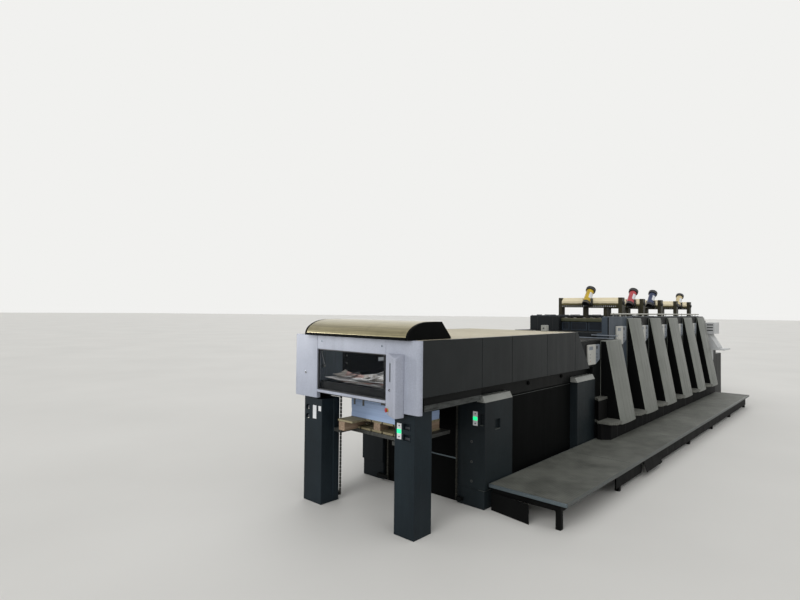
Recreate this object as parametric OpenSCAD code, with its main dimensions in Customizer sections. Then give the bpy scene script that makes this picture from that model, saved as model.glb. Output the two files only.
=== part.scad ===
// Five-colour sheet-fed offset press with coating unit and extended delivery.
// X runs from the delivery to the feeder, -Y is the operator side, Z is up from the floor.
// Places along the press are measured from the front face of the front legs.

/* [Frame] */
// Width over the legs and the frame
frame_w = 1498; // [1450:1:1600]

/* [Delivery] */
// Size of a front leg along the press
leg_d = 234; // [180:1:240]
// Width of the operator side front leg
leg_w = 231; // [180:1:260]
// Width of the drive side front leg
leg_w_drive = 275; // [180:1:285]
// Underside of the delivery's side panels
panel_z = 1214; // [1150:1:1250]
// Top of the delivery
delivery_h = 1696; // [1640:1:1760]
// Underside of the front covers
front_z = 1069; // [1000:1:1110]
// Thickness of the front covers
front_t = 47; // [30:1:60]
// How far the front covers stand out beside the frame
front_over = 87; // [82:1:110]
// How far the drive side cover stands out beside the frame
front_over_drive = 119; // [85:1:125]
// Corner radius of the front covers
front_r = 40; // [10:1:45]
// Thickness of the side panels
side_panel_t = 40; // [20:1:60]
// How far the side panels stand out beside the frame
side_panel_over = 80; // [70:1:82]
// How far the side frames stand behind the frame's outer face below the panels
band_in = 49; // [30:1:60]
// Thickness of the side frames
side_frame_t = 90; // [60:1:110]
// Underside of the side frames
side_frame_z = 1050; // [1045:1:1060]
// How far the side panels end ahead of the second pillar at their upper edge
panel_top_back = 60; // [30:1:150]
// How far they run past its front at their lower edge
panel_low_over = 310; // [200:1:320]
// Rear wall of the pile chamber behind the front of the first pillar
chamber_back = 40; // [20:1:80]
// Window width
window_w = 949; // [800:1:1000]
// Window's centre line, off the press's centre line towards the drive side
window_y = 27; // [0:1:60]
// Window's lower edge
window_z = 1156; // [1120:1:1200]
// Height of the strip above the window
top_strip_h = 136; // [100:1:180]
// Thickness of the glass
glass_t = 8; // [4:1:12]
// Height of the sill bar below the window
sill_h = 26; // [15:1:34]
// Depth of the control console in front of the cover
console_d = 95; // [60:1:95]
// Width of the control console at its foot on the cover
console_w = 200; // [160:1:210]
// Height of the control console at its foot
console_h = 541; // [450:1:550]
// Top of the console below the top of the delivery
console_under = 120; // [100:1:160]
// How far the console's top falls towards its front edge
console_fall = 33; // [10:1:50]
// Distance of the console's foot from the frame's outer face
console_in = 81; // [60:1:90]
// Height of the guards under the side panels
side_guard_h = 128; // [90:1:150]
// Thickness of these guards
side_guard_t = 20; // [10:1:22]
// Top of the hood above the delivery
hood_rise = 157; // [120:1:200]
// Front tip of the hood, ahead of the legs
hood_tip = 100; // [80:1:120]
// Rear edge of the hood
hood_rear = 501; // [460:1:560]
// Height of the hood's black rim
rim_h = 14; // [8:1:20]
// Thickness of the hood's end caps
hood_cap_t = 26; // [10:1:40]
// How far the hood ends inside the frame's drive side face
hood_drive_in = 115; // [0:1:140]
// Thickness of the deck plate
deck_t = 8; // [4:1:12]

/* [Pillars and base] */
// Front of the first pillar
pillar_a_x = 1000; // [960:1:1015]
// Length of the first pillar
pillar_a_d = 525; // [460:1:580]
// Front of the second pillar
pillar_b_x = 3130; // [3050:1:3135]
// Length of the second pillar
pillar_b_d = 560; // [500:1:565]
// Width of the pillars
pillar_w = 339; // [320:1:345]
// How far the pillars stand proud of the frame's outer face
pillar_proud = 50; // [30:1:54]
// How much further out the first pillar stands on the drive side
pillar_a_shift = 125; // [0:1:140]
// Height of the light caps
cap_h = 62; // [50:1:100]
// How far a cap's top edge stands back
cap_back = 32; // [20:1:50]
// Height of the narrow plinth under the first pillar
plinth_h = 190; // [120:1:240]
// How far the plinth stands back
plinth_in = 12; // [6:1:30]
// Thickness of the panels between the pillars
under_panel_t = 24; // [12:1:40]

/* [Pile] */
// Top of the pile platform
platform_z = 750; // [700:1:780]
// Thickness of the pile platform
platform_t = 34; // [25:1:60]
// Front of the pile platform
platform_x = 285; // [275:1:299]
// Depth of the pile platform
platform_d = 615; // [580:1:640]
// Width of the pile platform
platform_w = 900; // [840:1:930]
// Height of the pallet
pallet_h = 112; // [90:1:120]
// Width of the sheets
sheet_w = 740; // [700:1:760]
// Length of the sheets
sheet_l = 530; // [500:1:560]
// Front of the pile
pile_x = 300; // [280:1:320]
// Height of the stack of sheets
pile_h = 370; // [200:1:380]
// Diameter of a hoist chain
chain_dia = 20; // [12:1:22]

/* [Units] */
// Number of printing units
units = 5; // [5:1:5]
// Distance from unit to unit
pitch = 1030; // [1020:1:1040]
// Length of the coating unit behind the second pillar
coat_l = 550; // [520:1:580]
// Rear of the last printing unit beyond its pitch
unit_tail = 310; // [280:1:340]
// Front of the coating unit's cover behind the second pillar
cover_from = 250; // [240:1:270]
// Length of a cover along the press
cover_l = 560; // [500:1:590]
// Height of the covers' lower edge
cover_z = 430; // [424:1:480]
// Top of the coating unit's cover
coat_cover_top = 1560; // [1500:1:1570]
// Top of the coating unit's housing
coat_h = 1570; // [1520:1:1590]
// Top of the printing units' covers
cover_top = 1865; // [1800:1:1880]
// Top of the units' side frames
unit_h = 1885; // [1860:1:1900]
// How far the unit sides stand proud of the frame's outer face
unit_proud = 20; // [15:1:40]
// How far a printing unit's cover stands off at its upper edge
cover_out_top = 44; // [20:1:60]
// How far a cover stands off at its lower edge
cover_out_low = 310; // [260:1:330]
// Width of a unit's side frame on the operator side
unit_side_w = 100; // [80:1:130]
// Width of a unit's side frame with its gears on the drive side
unit_drive_w = 520; // [480:1:560]
// Front of the first unit's drive side frame behind the unit's front
drive_back = 540; // [400:1:600]
// How far the middle of a unit lies below its side frames
unit_mid_drop = 55; // [35:1:105]
// Joint between neighbouring units
seam = 4; // [1:1:8]
// Height of a display panel
display_h = 270; // [240:1:300]
// Thickness of a display panel
display_t = 25; // [10:1:30]
// Underside of the display panels on printing units
display_z = 1480; // [1440:1:1500]
// Underside of the display panel on the coating unit
coat_display_z = 1245; // [1200:1:1260]
// Gap between a display panel and the next cover
display_gap = 60; // [30:1:80]
// Gap between a display panel and the cover before it
display_near = 10; // [5:1:30]
// Height of the conduit rail's centre over the units
rail_up = 45; // [40:1:60]
// Diameter of the conduit rail
rail_dia = 22; // [12:1:30]

/* [Steps] */
// Reach of the toe boxes from the unit's side
toe_reach = 240; // [200:1:255]
// Top of a step pad
step_z = 503; // [495:1:520]
// Thickness of a step pad
step_t = 32; // [20:1:36]
// Reach of a step pad from the unit's side
step_reach = 335; // [280:1:345]
// Chamfer at a step pad's corners
step_chamfer = 80; // [20:1:100]
// Gap between a step pad and its covers
step_gap = 12; // [5:1:20]
// Top of the upper step by the coating unit
upper_step_z = 795; // [760:1:820]
// Reach of the upper step from the unit's side
upper_step_reach = 110; // [80:1:130]

/* [Ink fountains] */
// Fountain's centre line behind the front of its unit
fountain_x = 1240; // [1200:1:1260]
// Width of the fountain guard
fountain_w = 974; // [900:1:990]
// Depth of the fountain guard
fountain_d = 180; // [140:1:200]
// Underside of the fountain beam above the units' side frames
fountain_up = 150; // [140:1:160]
// Height of the fountain beam
beam_h = 40; // [30:1:60]
// Height of the guard over its beam
guard_h = 125; // [110:1:130]
// Thickness of a cheek
cheek_t = 60; // [40:1:90]
// Width of a strut under the beam
strut_w = 50; // [30:1:70]
// Diameter of an ink cartridge
cartridge_dia = 120; // [100:1:130]
// Length of an ink cartridge
cartridge_l = 325; // [280:1:340]
// Diameter of a cartridge's cap
cartridge_cap_dia = 140; // [130:1:150]
// Tilt of an ink cartridge from upright
cartridge_tilt = 42; // [40:1:45]
// Width of a cartridge carriage
carriage_w = 150; // [140:1:170]
// Running gap of a carriage on its guard and of the platform on its rails
run_gap = 0.5; // [0.3:0.1:1]

/* [Feeder] */
// Top of the feeder's side frames at the pile
feeder_h = 1000; // [950:1:1100]
// Top of the feeder's side frames at the feed board
feeder_front_h = 1330; // [1250:1:1400]
// Length of the feeder
feeder_l = 1750; // [1650:10:1900]
// Length of the feeder's high front part
feeder_high_l = 1200; // [1195:1:1250]
// Thickness of the feeder's side frames
feeder_side_t = 140; // [80:1:160]
// Length of the feed board
feed_l = 800; // [760:1:820]
// Top of the feeder pile's platform
feeder_pile_z = 300; // [260:1:400]
// Top of the suction head
head_top = 1420; // [1380:1:1460]
// Distance of the feeder console from the last unit
feeder_console_from = 200; // [100:1:250]
// Length of the feeder console
feeder_console_l = 500; // [400:1:540]

/* [Footboards] */
// Operator side footboard's front end behind the front of the first pillar
board_from = 45; // [20:1:60]
// Drive side footboard's front end behind the front of the second pillar
board_from_drive = 170; // [0:1:300]
// How far the footboards run past the last unit
board_past = 9; // [0:1:60]
// Outer edge of a footboard from the frame's outer face
board_reach = 876; // [700:1:950]
// Gap between a footboard and the frame's outer face
board_gap = 66; // [60:1:80]
// Top of a footboard
board_z = 260; // [230:1:300]
// Thickness of a footboard
board_t = 36; // [24:1:50]
// Thickness of the skirt panels
skirt_t = 6; // [3:1:10]
// Height of the skirt panels
skirt_h = 170; // [120:1:180]
// How far the skirts stand behind the board's edge
skirt_in = 68; // [66:1:100]
// Side of a footboard leg
foot_w = 50; // [30:1:50]

/* [Hidden] */
$fn = 48;

half_w = frame_w / 2;
unit_side = half_w + unit_proud;
board_in_y = half_w + board_gap;
board_out_y = half_w + board_reach;
front_y = half_w + front_over;
window_top = delivery_h - top_strip_h;
chamber_x = pillar_a_x + chamber_back;
panel_out_y = half_w + side_panel_over;
panel_in_y = panel_out_y - side_panel_t;
band_y = half_w - band_in;
frame_in_y = band_y - side_frame_t;
pillar_h = side_frame_z;
deck_z = delivery_h - deck_t;
panel_end_top = pillar_b_x - panel_top_back;
panel_end_low = pillar_b_x + panel_low_over;
cover_x = pillar_b_x + pillar_b_d + cover_from;
unit_x = pillar_b_x + pillar_b_d + coat_l;
units_end = unit_x + units * pitch + unit_tail;
feeder_end = units_end + feeder_l;
press_front = -front_t - console_d;
mid_x = (press_front + feeder_end) / 2;
board_x = pillar_a_x + board_from;
board_x_drive = pillar_b_x + board_from_drive;
board_end = units_end + board_past;
board_low = board_z - board_t;
unit_mid_h = unit_h - unit_mid_drop;
fountain_z = unit_h + fountain_up;
window_lo_y = window_y - window_w / 2;
window_hi_y = window_y + window_w / 2;
sides = [-1, 1];
clear = 0.3;

// Puts a module's pieces, placed from the front legs, into the model's own frame
module placed() {
    translate([-mid_x, 0, 0]) children();
}

// A block from its lowest to its highest corner
module block(low, high) {
    translate(low) cube(high - low);
}

// A profile in X and Z, drawn over a stretch of Y
module across(y_low, y_high) {
    translate([0, y_high, 0]) rotate([90, 0, 0]) linear_extrude(y_high - y_low) children();
}

// A profile in Y and Z, drawn over a stretch of X
module along(x_low, x_high) {
    translate([x_low, 0, 0]) rotate([90, 0, 90]) linear_extrude(x_high - x_low) children();
}

// Recess cut into a face that looks along -X
module face_recess(x, y, z, width, height) {
    block([x - clear, y - width / 2, z - height / 2],
        [x + recess_deep, y + width / 2, z + height / 2]);
}

// Front legs

// Middle of the recesses in the front legs, above the floor
leg_recess_z = [858, 951];
// How far in from the outer face they lie, as a share of the leg's width
leg_recess_in = 0.39;
leg_recess_in_drive = 0.19;
// Width, height and depth of such a recess, and the diameter of a round one
recess_w = 76;
recess_h = 54;
recess_deep = 30;
recess_dia = 62;
// Lower end of the hoist's rails and chains above the floor
rail_low = 40;

// A leg up to the side frame, and its outer tongue up to the side panel
module leg(y_low, y_high, tongue_low, tongue_high) {
    block([0, y_low, 0], [leg_d, y_high, side_frame_z]);
    block([0, tongue_low, side_frame_z - clear], [leg_d, tongue_high, panel_z]);
}

// Guide rail of the pile hoist on a leg's inner face
leg_rail_x = 150;
leg_rail_w = 60;
leg_rail_t = 12;

module leg_rail(y_low) {
    block([leg_rail_x, y_low, rail_low], [leg_rail_x + leg_rail_w, y_low + leg_rail_t, side_frame_z]);
}

module front_leg_operator() {
    placed() color("#23272b") {
        difference() {
            leg(-half_w, -half_w + leg_w, -half_w, -band_y);
            for (z = leg_recess_z)
                face_recess(0, -half_w + leg_w * leg_recess_in, z, recess_w, recess_h);
        }
        leg_rail(-half_w + leg_w);
    }
}

module front_leg_drive() {
    placed() color("#23272b") {
        difference() {
            leg(half_w - leg_w_drive, half_w, band_y, half_w);
            for (z = leg_recess_z) translate([-clear, half_w - leg_w_drive * leg_recess_in_drive, z])
                rotate([0, 90, 0]) cylinder(h = recess_deep + clear, d = recess_dia);
        }
        leg_rail(half_w - leg_w_drive - leg_rail_t);
    }
}

// Pillars

pillar_out_y = half_w + pillar_proud;

// Outer face of the first pillar on a side
function pillar_a_out(side) = pillar_out_y + (side > 0 ? pillar_a_shift : 0);

module pillar_pair(side) {
    y_out = side * pillar_a_out(side);
    y_in = side * (pillar_a_out(side) - pillar_w);
    y_plinth = side * (pillar_a_out(side) - plinth_in);
    b_out = side * pillar_out_y;
    b_in = side * (pillar_out_y - pillar_w);
    block([pillar_a_x, min(y_out, y_in), plinth_h],
        [pillar_a_x + pillar_a_d, max(y_out, y_in), pillar_h]);
    block([pillar_a_x + plinth_in, min(y_plinth, y_in), 0],
        [pillar_a_x + pillar_a_d, max(y_plinth, y_in), plinth_h]);
    block([pillar_b_x, min(b_out, b_in), 0],
        [pillar_b_x + pillar_b_d, max(b_out, b_in), pillar_h]);
}

// Recess in the operator side face of the first pillar, along its length and above the floor
pillar_recess_x = 187;
pillar_recess_z = 768;
pillar_recess_side = 94;
// Slot in that pillar's front face beside the corner
pillar_slot_in = 36;
pillar_slot_z = 882;
pillar_slot_w = 44;
pillar_slot_h = 110;

module pillars_operator() {
    placed() color("#26282a") difference() {
        pillar_pair(-1);
        block([pillar_a_x + pillar_recess_x, -pillar_out_y - clear, pillar_recess_z],
            [pillar_a_x + pillar_recess_x + pillar_recess_side, -pillar_out_y + recess_deep,
            pillar_recess_z + pillar_recess_side]);
        face_recess(pillar_a_x, -pillar_out_y + pillar_slot_in, pillar_slot_z, pillar_slot_w,
            pillar_slot_h);
    }
}

module pillars_drive() {
    placed() color("#26282a") pillar_pair(1);
}

module pillar_cap(x, length, side, y_out) {
    along(x, x + length)
        polygon([[side * y_out, pillar_h], [side * band_y, pillar_h],
            [side * band_y, pillar_h + cap_h], [side * (y_out - cap_back), pillar_h + cap_h]]);
}

module pillar_caps() {
    placed() color("#a3a5a1") for (side = sides) {
        pillar_cap(pillar_a_x, pillar_a_d, side, pillar_a_out(side));
        pillar_cap(pillar_b_x, pillar_b_d, side, pillar_out_y);
    }
}

// Base between the pillars

module under_panels() {
    placed() color("#1b1c1b") for (side = sides)
        block([pillar_a_x + pillar_a_d, side * (band_y - under_panel_t / 2) - under_panel_t / 2, 0],
            [pillar_b_x, side * (band_y - under_panel_t / 2) + under_panel_t / 2, side_frame_z]);
}

// Outline of the base in plan: between the first pillars, then out to the panels
module delivery_base() {
    a_y = pillar_out_y - pillar_w;
    a_drive_y = pillar_a_out(1) - pillar_w;
    panel_y = band_y - under_panel_t;
    placed() color("#141516") linear_extrude(side_frame_z)
        polygon([[chamber_x, -a_y], [pillar_a_x + pillar_a_d, -a_y], [pillar_a_x + pillar_a_d, -panel_y],
            [pillar_b_x, -panel_y], [pillar_b_x, panel_y],
            [pillar_a_x + pillar_a_d, panel_y], [pillar_a_x + pillar_a_d, a_drive_y],
            [chamber_x, a_drive_y]]);
}

// Delivery

module delivery_side_frames() {
    placed() color("#17191a") for (side = sides) along(0, pillar_b_x)
        polygon([[side * frame_in_y, side_frame_z], [side * band_y, side_frame_z],
            [side * band_y, panel_z], [side * panel_in_y, panel_z],
            [side * panel_in_y, deck_z], [side * frame_in_y, deck_z]]);
}

module side_panel(y_low, y_high) {
    across(y_low, y_high)
        polygon([[0, panel_z], [panel_end_low, panel_z], [panel_end_top, delivery_h], [0, delivery_h]]);
}

module side_panel_operator() {
    placed() color("#2d2f30") side_panel(-panel_out_y, -panel_in_y);
}

module side_panel_drive() {
    placed() color("#2d2f30") side_panel(panel_in_y, panel_out_y);
}

// Height of the side panels' sloping rear end at a place along the press
function slope_z(x) =
    delivery_h + (panel_z - delivery_h) * (x - panel_end_top) / (panel_end_low - panel_end_top);

module delivery_housing() {
    placed() color("#1d1f20") across(-frame_in_y, frame_in_y)
        polygon([[chamber_x, side_frame_z], [pillar_b_x, side_frame_z],
            [pillar_b_x, slope_z(pillar_b_x)], [panel_end_top, deck_z], [chamber_x, deck_z]]);
}

module delivery_deck() {
    placed() color("#d9d3bf")
        block([0, -panel_in_y, deck_z], [panel_end_top, panel_in_y, delivery_h]);
}

// Hood over the delivery's front end

hood_arc_steps = 14;
hood_arc_x = 290;
hood_flat_x = 465;

// Upper outline of the hood: a quarter of an ellipse, a flat stretch and a steep rear
function hood_top_line(low, high) = concat(
    [for (i = [0 : hood_arc_steps])
        let (a = 90 * i / hood_arc_steps)
        [-hood_tip + hood_arc_x * (1 - cos(a)), low + (high - low) * sin(a)]],
    [[hood_flat_x - hood_tip, high], [hood_rear, low]]);

hood_drive_y = half_w - hood_drive_in;

module hood() {
    placed() color("#8d8778") across(-half_w + hood_cap_t, hood_drive_y - hood_cap_t)
        polygon(hood_top_line(delivery_h + rim_h, delivery_h + hood_rise));
}

module hood_trim() {
    placed() color("#171918") {
        across(-half_w, hood_drive_y)
            polygon([[-hood_tip, delivery_h], [hood_rear, delivery_h],
                [hood_rear, delivery_h + rim_h], [-hood_tip, delivery_h + rim_h]]);
        for (y = [-half_w, hood_drive_y - hood_cap_t]) across(y, y + hood_cap_t)
            polygon(hood_top_line(delivery_h + rim_h - clear, delivery_h + hood_rise));
    }
}

// Front of the delivery

// Block with one rounded vertical edge on its outer front corner
module round_front(y_in, y_out, z_low, z_high, r) {
    side = sign(y_out - y_in);
    translate([0, 0, z_low]) linear_extrude(z_high - z_low) difference() {
        polygon([[0, y_in], [0, y_out], [-front_t, y_out], [-front_t, y_in]]);
        translate([-front_t, y_out]) difference() {
            polygon([[-clear, clear * side], [r, clear * side], [r, -r * side], [-clear, -r * side]]);
            translate([r, -r * side]) circle(r);
        }
    }
}

module front_cover_operator() {
    placed() color("#b9bed0") round_front(window_lo_y, -front_y, front_z, delivery_h, front_r);
}

module front_cover_drive() {
    placed() color("#b9bed0")
        round_front(window_hi_y, half_w + front_over_drive, front_z, delivery_h, front_r);
}

module front_top_strip() {
    placed() color("#b9bed0")
        block([-front_t, window_lo_y, window_top], [0, window_hi_y, delivery_h]);
}

module window_sill() {
    placed() color("#b4bac8")
        block([-front_t, window_lo_y, window_z - sill_h], [0, window_hi_y, window_z]);
}

module delivery_window() {
    x = -(front_t + glass_t) / 2;
    placed() color("#2c3540")
        block([x, window_lo_y, window_z], [x + glass_t, window_hi_y, window_top]);
}

// How far the console's nose stands inside its foot's outer edge, and the width of the nose
console_side = 18;
console_nose = 20;

// Console on the operator side cover: its key face is turned towards the window, its top falls
module control_console() {
    y_out = -half_w + console_in;
    y_nose = y_out + console_side;
    top = delivery_h - console_under;
    placed() color("#c3c8d4") translate([-front_t, 0, 0]) difference() {
        translate([0, 0, top - console_h]) linear_extrude(console_h)
            polygon([[0, y_out + console_w], [0, y_out], [-console_d, y_nose],
                [-console_d, y_nose + console_nose]]);
        translate([0, 0, top]) rotate([0, -atan(console_fall / console_d), 0])
            block([-2 * console_d, y_out - clear, 0], [console_d, y_out + console_w + clear, console_d]);
    }
}

// Guards that hang from the side frames between the front covers and the first pillars
side_guard_from = 70;
side_guard_gap = 60;

module side_guards() {
    placed() color("#3c3d3c") for (side = sides) {
        y_mid = side * (panel_in_y - side_guard_t / 2);
        block([side_guard_from, y_mid - side_guard_t / 2, panel_z - side_guard_h],
            [pillar_a_x - side_guard_gap, y_mid + side_guard_t / 2, panel_z]);
    }
}

// Pile in the delivery

// Places of the hoist chains beside the platform and off the legs and pillars
chain_y = platform_w / 2 + 30;
chain_off = chain_dia / 2 + 15;
// Size of the blocks that hold a chain, and how far in from the frame's face the lower one ends
chain_block = 36;
chain_foot_in = 200;
// How far the lower block reaches past the inner edge of the first pillar
chain_foot_over = 60;

// One hoist chain with its upper block on the side frame and its lower block on a leg or pillar
module hoist_chain(x, x_foot, y_foot, side) {
    y_mid = side * (chain_y + frame_in_y) / 2;
    y_low_mid = side * (chain_y + y_foot) / 2;
    reach = (frame_in_y - chain_y) / 2;
    low_reach = (y_foot - chain_y) / 2;
    translate([x, side * chain_y, rail_low])
        cylinder(h = side_frame_z - rail_low + chain_block / 2, d = chain_dia);
    block([x - chain_block / 2, y_mid - reach, side_frame_z],
        [x + chain_block / 2, y_mid + reach, side_frame_z + chain_block]);
    block([min(x, x_foot), y_low_mid - low_reach, rail_low],
        [max(x, x_foot), y_low_mid + low_reach, rail_low + chain_block]);
}

module hoist_chains() {
    placed() color("#3a3a38") for (side = sides) {
        hoist_chain(leg_d + chain_off, leg_d, half_w - chain_foot_in, side);
        hoist_chain(pillar_a_x - chain_off, pillar_a_x + plinth_in,
            max(chain_y, pillar_a_out(side) - pillar_w) + chain_foot_over, side);
    }
}

// Platform with an arm at each side, which ends in a shoe at the leg's guide rail
platform_arm_w = 100;
platform_arm_in = 20;

module pile_platform() {
    operator_y = -half_w + leg_w + leg_rail_t + run_gap;
    drive_y = half_w - leg_w_drive - leg_rail_t - run_gap;
    low = platform_z - platform_t;
    arm_y = platform_w / 2 - platform_arm_w;
    placed() color("#55564f") {
        block([platform_x, -platform_w / 2, low],
            [platform_x + platform_d, platform_w / 2, platform_z]);
        for (y = [[-platform_w / 2, -arm_y], [arm_y, platform_w / 2]])
            block([leg_rail_x, y[0], low], [platform_x + platform_arm_in, y[1], platform_z - clear]);
        for (y = [[operator_y, -arm_y], [arm_y, drive_y]])
            block([leg_rail_x, y[0], low], [leg_rail_x + leg_rail_w, y[1], platform_z - clear]);
    }
}

// Pallet: top and bottom boards with three runners along the press
pallet_board_t = 20;
pallet_runner_w = 90;

module pile_pallet() {
    y = sheet_w / 2;
    top = platform_z + pallet_h;
    placed() color("#a58e66") {
        block([pile_x, -y, platform_z], [pile_x + sheet_l, y, platform_z + pallet_board_t]);
        block([pile_x, -y, top - pallet_board_t], [pile_x + sheet_l, y, top]);
        for (mid = [-y + pallet_runner_w / 2, 0, y - pallet_runner_w / 2])
            block([pile_x, mid - pallet_runner_w / 2, platform_z + pallet_board_t - clear],
                [pile_x + sheet_l, mid + pallet_runner_w / 2, top - pallet_board_t + clear]);
    }
}

module paper_stack() {
    low = platform_z + pallet_h;
    placed() color("#dfe3ea")
        block([pile_x, -sheet_w / 2, low], [pile_x + sheet_l, sheet_w / 2, low + pile_h]);
}

// Coating unit and printing units

// Stretch of the open well between a unit's side frames, and its floor
well_from = 360;
well_to = 660;
well_z = unit_mid_h - 180;

module coating_unit() {
    pillar_end = pillar_b_x + pillar_b_d;
    rear = unit_x - seam;
    between_y = pillar_out_y - pillar_w;
    placed() color("#232527") {
        block([pillar_b_x, -unit_side, panel_z], [rear, unit_side, coat_h]);
        block([pillar_b_x, -band_y, side_frame_z], [rear, band_y, panel_z + clear]);
        block([pillar_end, -unit_side, 0], [rear, unit_side, panel_z + clear]);
        block([pillar_b_x, -between_y, 0], [pillar_end + clear, between_y, side_frame_z + clear]);
    }
}

module printing_unit(k) {
    x = unit_x + (k - 1) * pitch;
    rear = x + pitch - seam + (k == units ? unit_tail + seam : 0);
    inner = unit_side - unit_side_w;
    inner_drive = unit_side - unit_drive_w;
    placed() color("#232527") difference() {
        along(x, rear)
            polygon([[-unit_side, 0], [unit_side, 0], [unit_side, unit_h], [inner_drive, unit_h],
                [inner_drive, unit_mid_h], [-inner, unit_mid_h], [-inner, unit_h], [-unit_side, unit_h]]);
        block([x + (k == 1 ? -clear : well_from), -inner, well_z],
            [x + well_to, inner_drive, unit_mid_h + clear]);
        if (k == 1)
            block([x - clear, -inner, well_z],
                [x + drive_back, unit_side + clear, unit_h + clear]);
    }
}

// How far a cover stands off the unit's side at a height
function cover_out(z) =
    cover_out_low + (cover_out_top - cover_out_low) * (z - cover_z) / (cover_top - cover_z);

module unit_cover(k, side) {
    top = k == 0 ? coat_cover_top : cover_top;
    x = cover_x + k * pitch;
    along(x, x + cover_l)
        polygon([[side * unit_side, cover_z], [side * (unit_side + cover_out_low), cover_z],
            [side * (unit_side + cover_out(top)), top], [side * unit_side, top]]);
}

module covers_operator() {
    placed() color("#676a64") for (k = [0 : units]) unit_cover(k, -1);
}

module covers_drive() {
    placed() color("#676a64") for (k = [0 : units]) unit_cover(k, 1);
}

display_l = pitch - cover_l - display_gap - display_near;

module unit_displays() {
    placed() color("#c9cdd2") for (k = [0 : units]) {
        x = cover_x + k * pitch - display_gap;
        z = k == 0 ? coat_display_z : display_z;
        block([x - display_l, -unit_side - display_t, z], [x, -unit_side, z + display_h]);
    }
}

// Toe boxes and steps

pad_l = pitch - cover_l - 2 * step_gap;
first_pad_l = cover_from - 2 * step_gap;
last_toe_end = cover_x + units * pitch + cover_l;
toe_first_x = pillar_b_x + pillar_b_d + step_gap;
// How far the first steps reach ahead beside the second pillar, and how they clear its corner
step_flare = 90;
flare_y = pillar_out_y + 6;
flare_out = 60;
toe_chamfer = 90;

// Length of the pad ahead of a cover, and of its rear end
function pad_length(k) = k == 0 ? first_pad_l : pad_l;
function pad_end(k) = cover_x + k * pitch - step_gap;

// Plan of a first step, from its outer edge round the pillar's corner to the unit's side
function flared_end(side, y_out, chamfer) =
    let (x = toe_first_x - step_flare)
    [[x + chamfer, side * y_out], [x, side * (y_out - chamfer)], [x, side * (flare_y + flare_out)],
    [toe_first_x, side * flare_y], [toe_first_x, side * unit_side]];

module toe_boxes() {
    placed() color("#151615") for (side = sides) {
        y_out = unit_side + toe_reach;
        y_mid = side * (unit_side + toe_reach / 2);
        translate([0, 0, board_z]) linear_extrude(step_z - step_t - board_z)
            polygon(concat(flared_end(side, y_out, toe_chamfer),
                [[pad_end(0), side * unit_side], [pad_end(0), side * y_out]]));
        block([toe_first_x + toe_chamfer, y_mid - toe_reach / 2, board_z],
            [last_toe_end, y_mid + toe_reach / 2, cover_z]);
        for (k = [1 : units])
            block([pad_end(k) - pad_length(k), y_mid - toe_reach / 2, cover_z - clear],
                [pad_end(k), y_mid + toe_reach / 2, step_z - step_t]);
    }
}

module step_pad(x_low, x_high, side) {
    y_in = side * unit_side;
    y_out = side * (unit_side + step_reach);
    y_chamfer = side * (unit_side + step_reach - step_chamfer);
    translate([0, 0, step_z - step_t]) linear_extrude(step_t)
        polygon([[x_low, y_in], [x_high, y_in], [x_high, y_chamfer], [x_high - step_chamfer, y_out],
            [x_low + step_chamfer, y_out], [x_low, y_chamfer]]);
}

module first_step_pad(side) {
    y_out = unit_side + step_reach;
    translate([0, 0, step_z - step_t]) linear_extrude(step_t)
        polygon(concat(flared_end(side, y_out, step_chamfer),
            [[pad_end(0), side * unit_side], [pad_end(0), side * (y_out - step_chamfer)],
            [pad_end(0) - step_chamfer, side * y_out]]));
}

module upper_step(side) {
    y_out = unit_side + upper_step_reach;
    translate([0, 0, step_z - clear]) linear_extrude(upper_step_z - step_z + clear)
        polygon([[toe_first_x - step_flare, side * y_out], [toe_first_x, side * flare_y],
            [toe_first_x, side * unit_side], [pad_end(0), side * unit_side],
            [pad_end(0), side * y_out]]);
}

module step_pads() {
    placed() color("#6a6c66") for (side = sides) {
        first_step_pad(side);
        upper_step(side);
        for (k = [1 : units]) step_pad(pad_end(k) - pad_length(k), pad_end(k), side);
    }
}

rail_from = 160;
rail_foot = 40;

module conduit_rail() {
    x_low = unit_x + rail_from;
    x_high = unit_x + units * pitch;
    y = -half_w;
    placed() color("#a9aaa4") {
        translate([x_low, y, unit_h + rail_up]) rotate([0, 90, 0])
            cylinder(h = x_high - x_low, d = rail_dia);
        for (k = [1 : units])
            block([unit_x + (k - 0.5) * pitch - rail_foot / 2, y - rail_dia / 4, unit_h],
                [unit_x + (k - 0.5) * pitch + rail_foot / 2, y + rail_dia / 4, unit_h + rail_up]);
    }
}

// Ink fountains

// Places of the struts across the press
strut_y = [-259, 84];
// Front lip of the beam ahead of the guard
beam_lip = 20;
cheek_front = fountain_d / 2 - 10;
cheek_rear = 40;

module ink_fountain(k) {
    x = unit_x + (k - 1) * pitch + fountain_x;
    y = fountain_w / 2;
    placed() color("#2b2a26") {
        block([x - fountain_d / 2 - beam_lip, -y - clear, fountain_z],
            [x + fountain_d / 2, y + clear, fountain_z + beam_h]);
        for (side = sides) {
            y_mid = side * (y + cheek_t / 2);
            block([x - cheek_front, y_mid - cheek_t / 2, side > 0 ? unit_h : unit_mid_h],
                [x + cheek_rear, y_mid + cheek_t / 2, fountain_z + beam_h + guard_h]);
        }
        for (mid = strut_y)
            block([x - strut_w, mid - strut_w / 2, unit_mid_h],
                [x + strut_w, mid + strut_w / 2, fountain_z + clear]);
    }
}

// Guard over a fountain, with a sloping front
guard_nose = 60;

module fountain_guards() {
    low = fountain_z + beam_h;
    high = low + guard_h;
    placed() color("#e8d9b0") for (k = [1 : units]) {
        x = unit_x + (k - 1) * pitch + fountain_x;
        across(-fountain_w / 2, fountain_w / 2)
            polygon([[x - fountain_d / 2, low], [x + fountain_d / 2, low], [x + fountain_d / 2, high],
                [x - fountain_d / 2 + guard_nose, high], [x - fountain_d / 2, high - guard_nose]]);
    }
}

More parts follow.
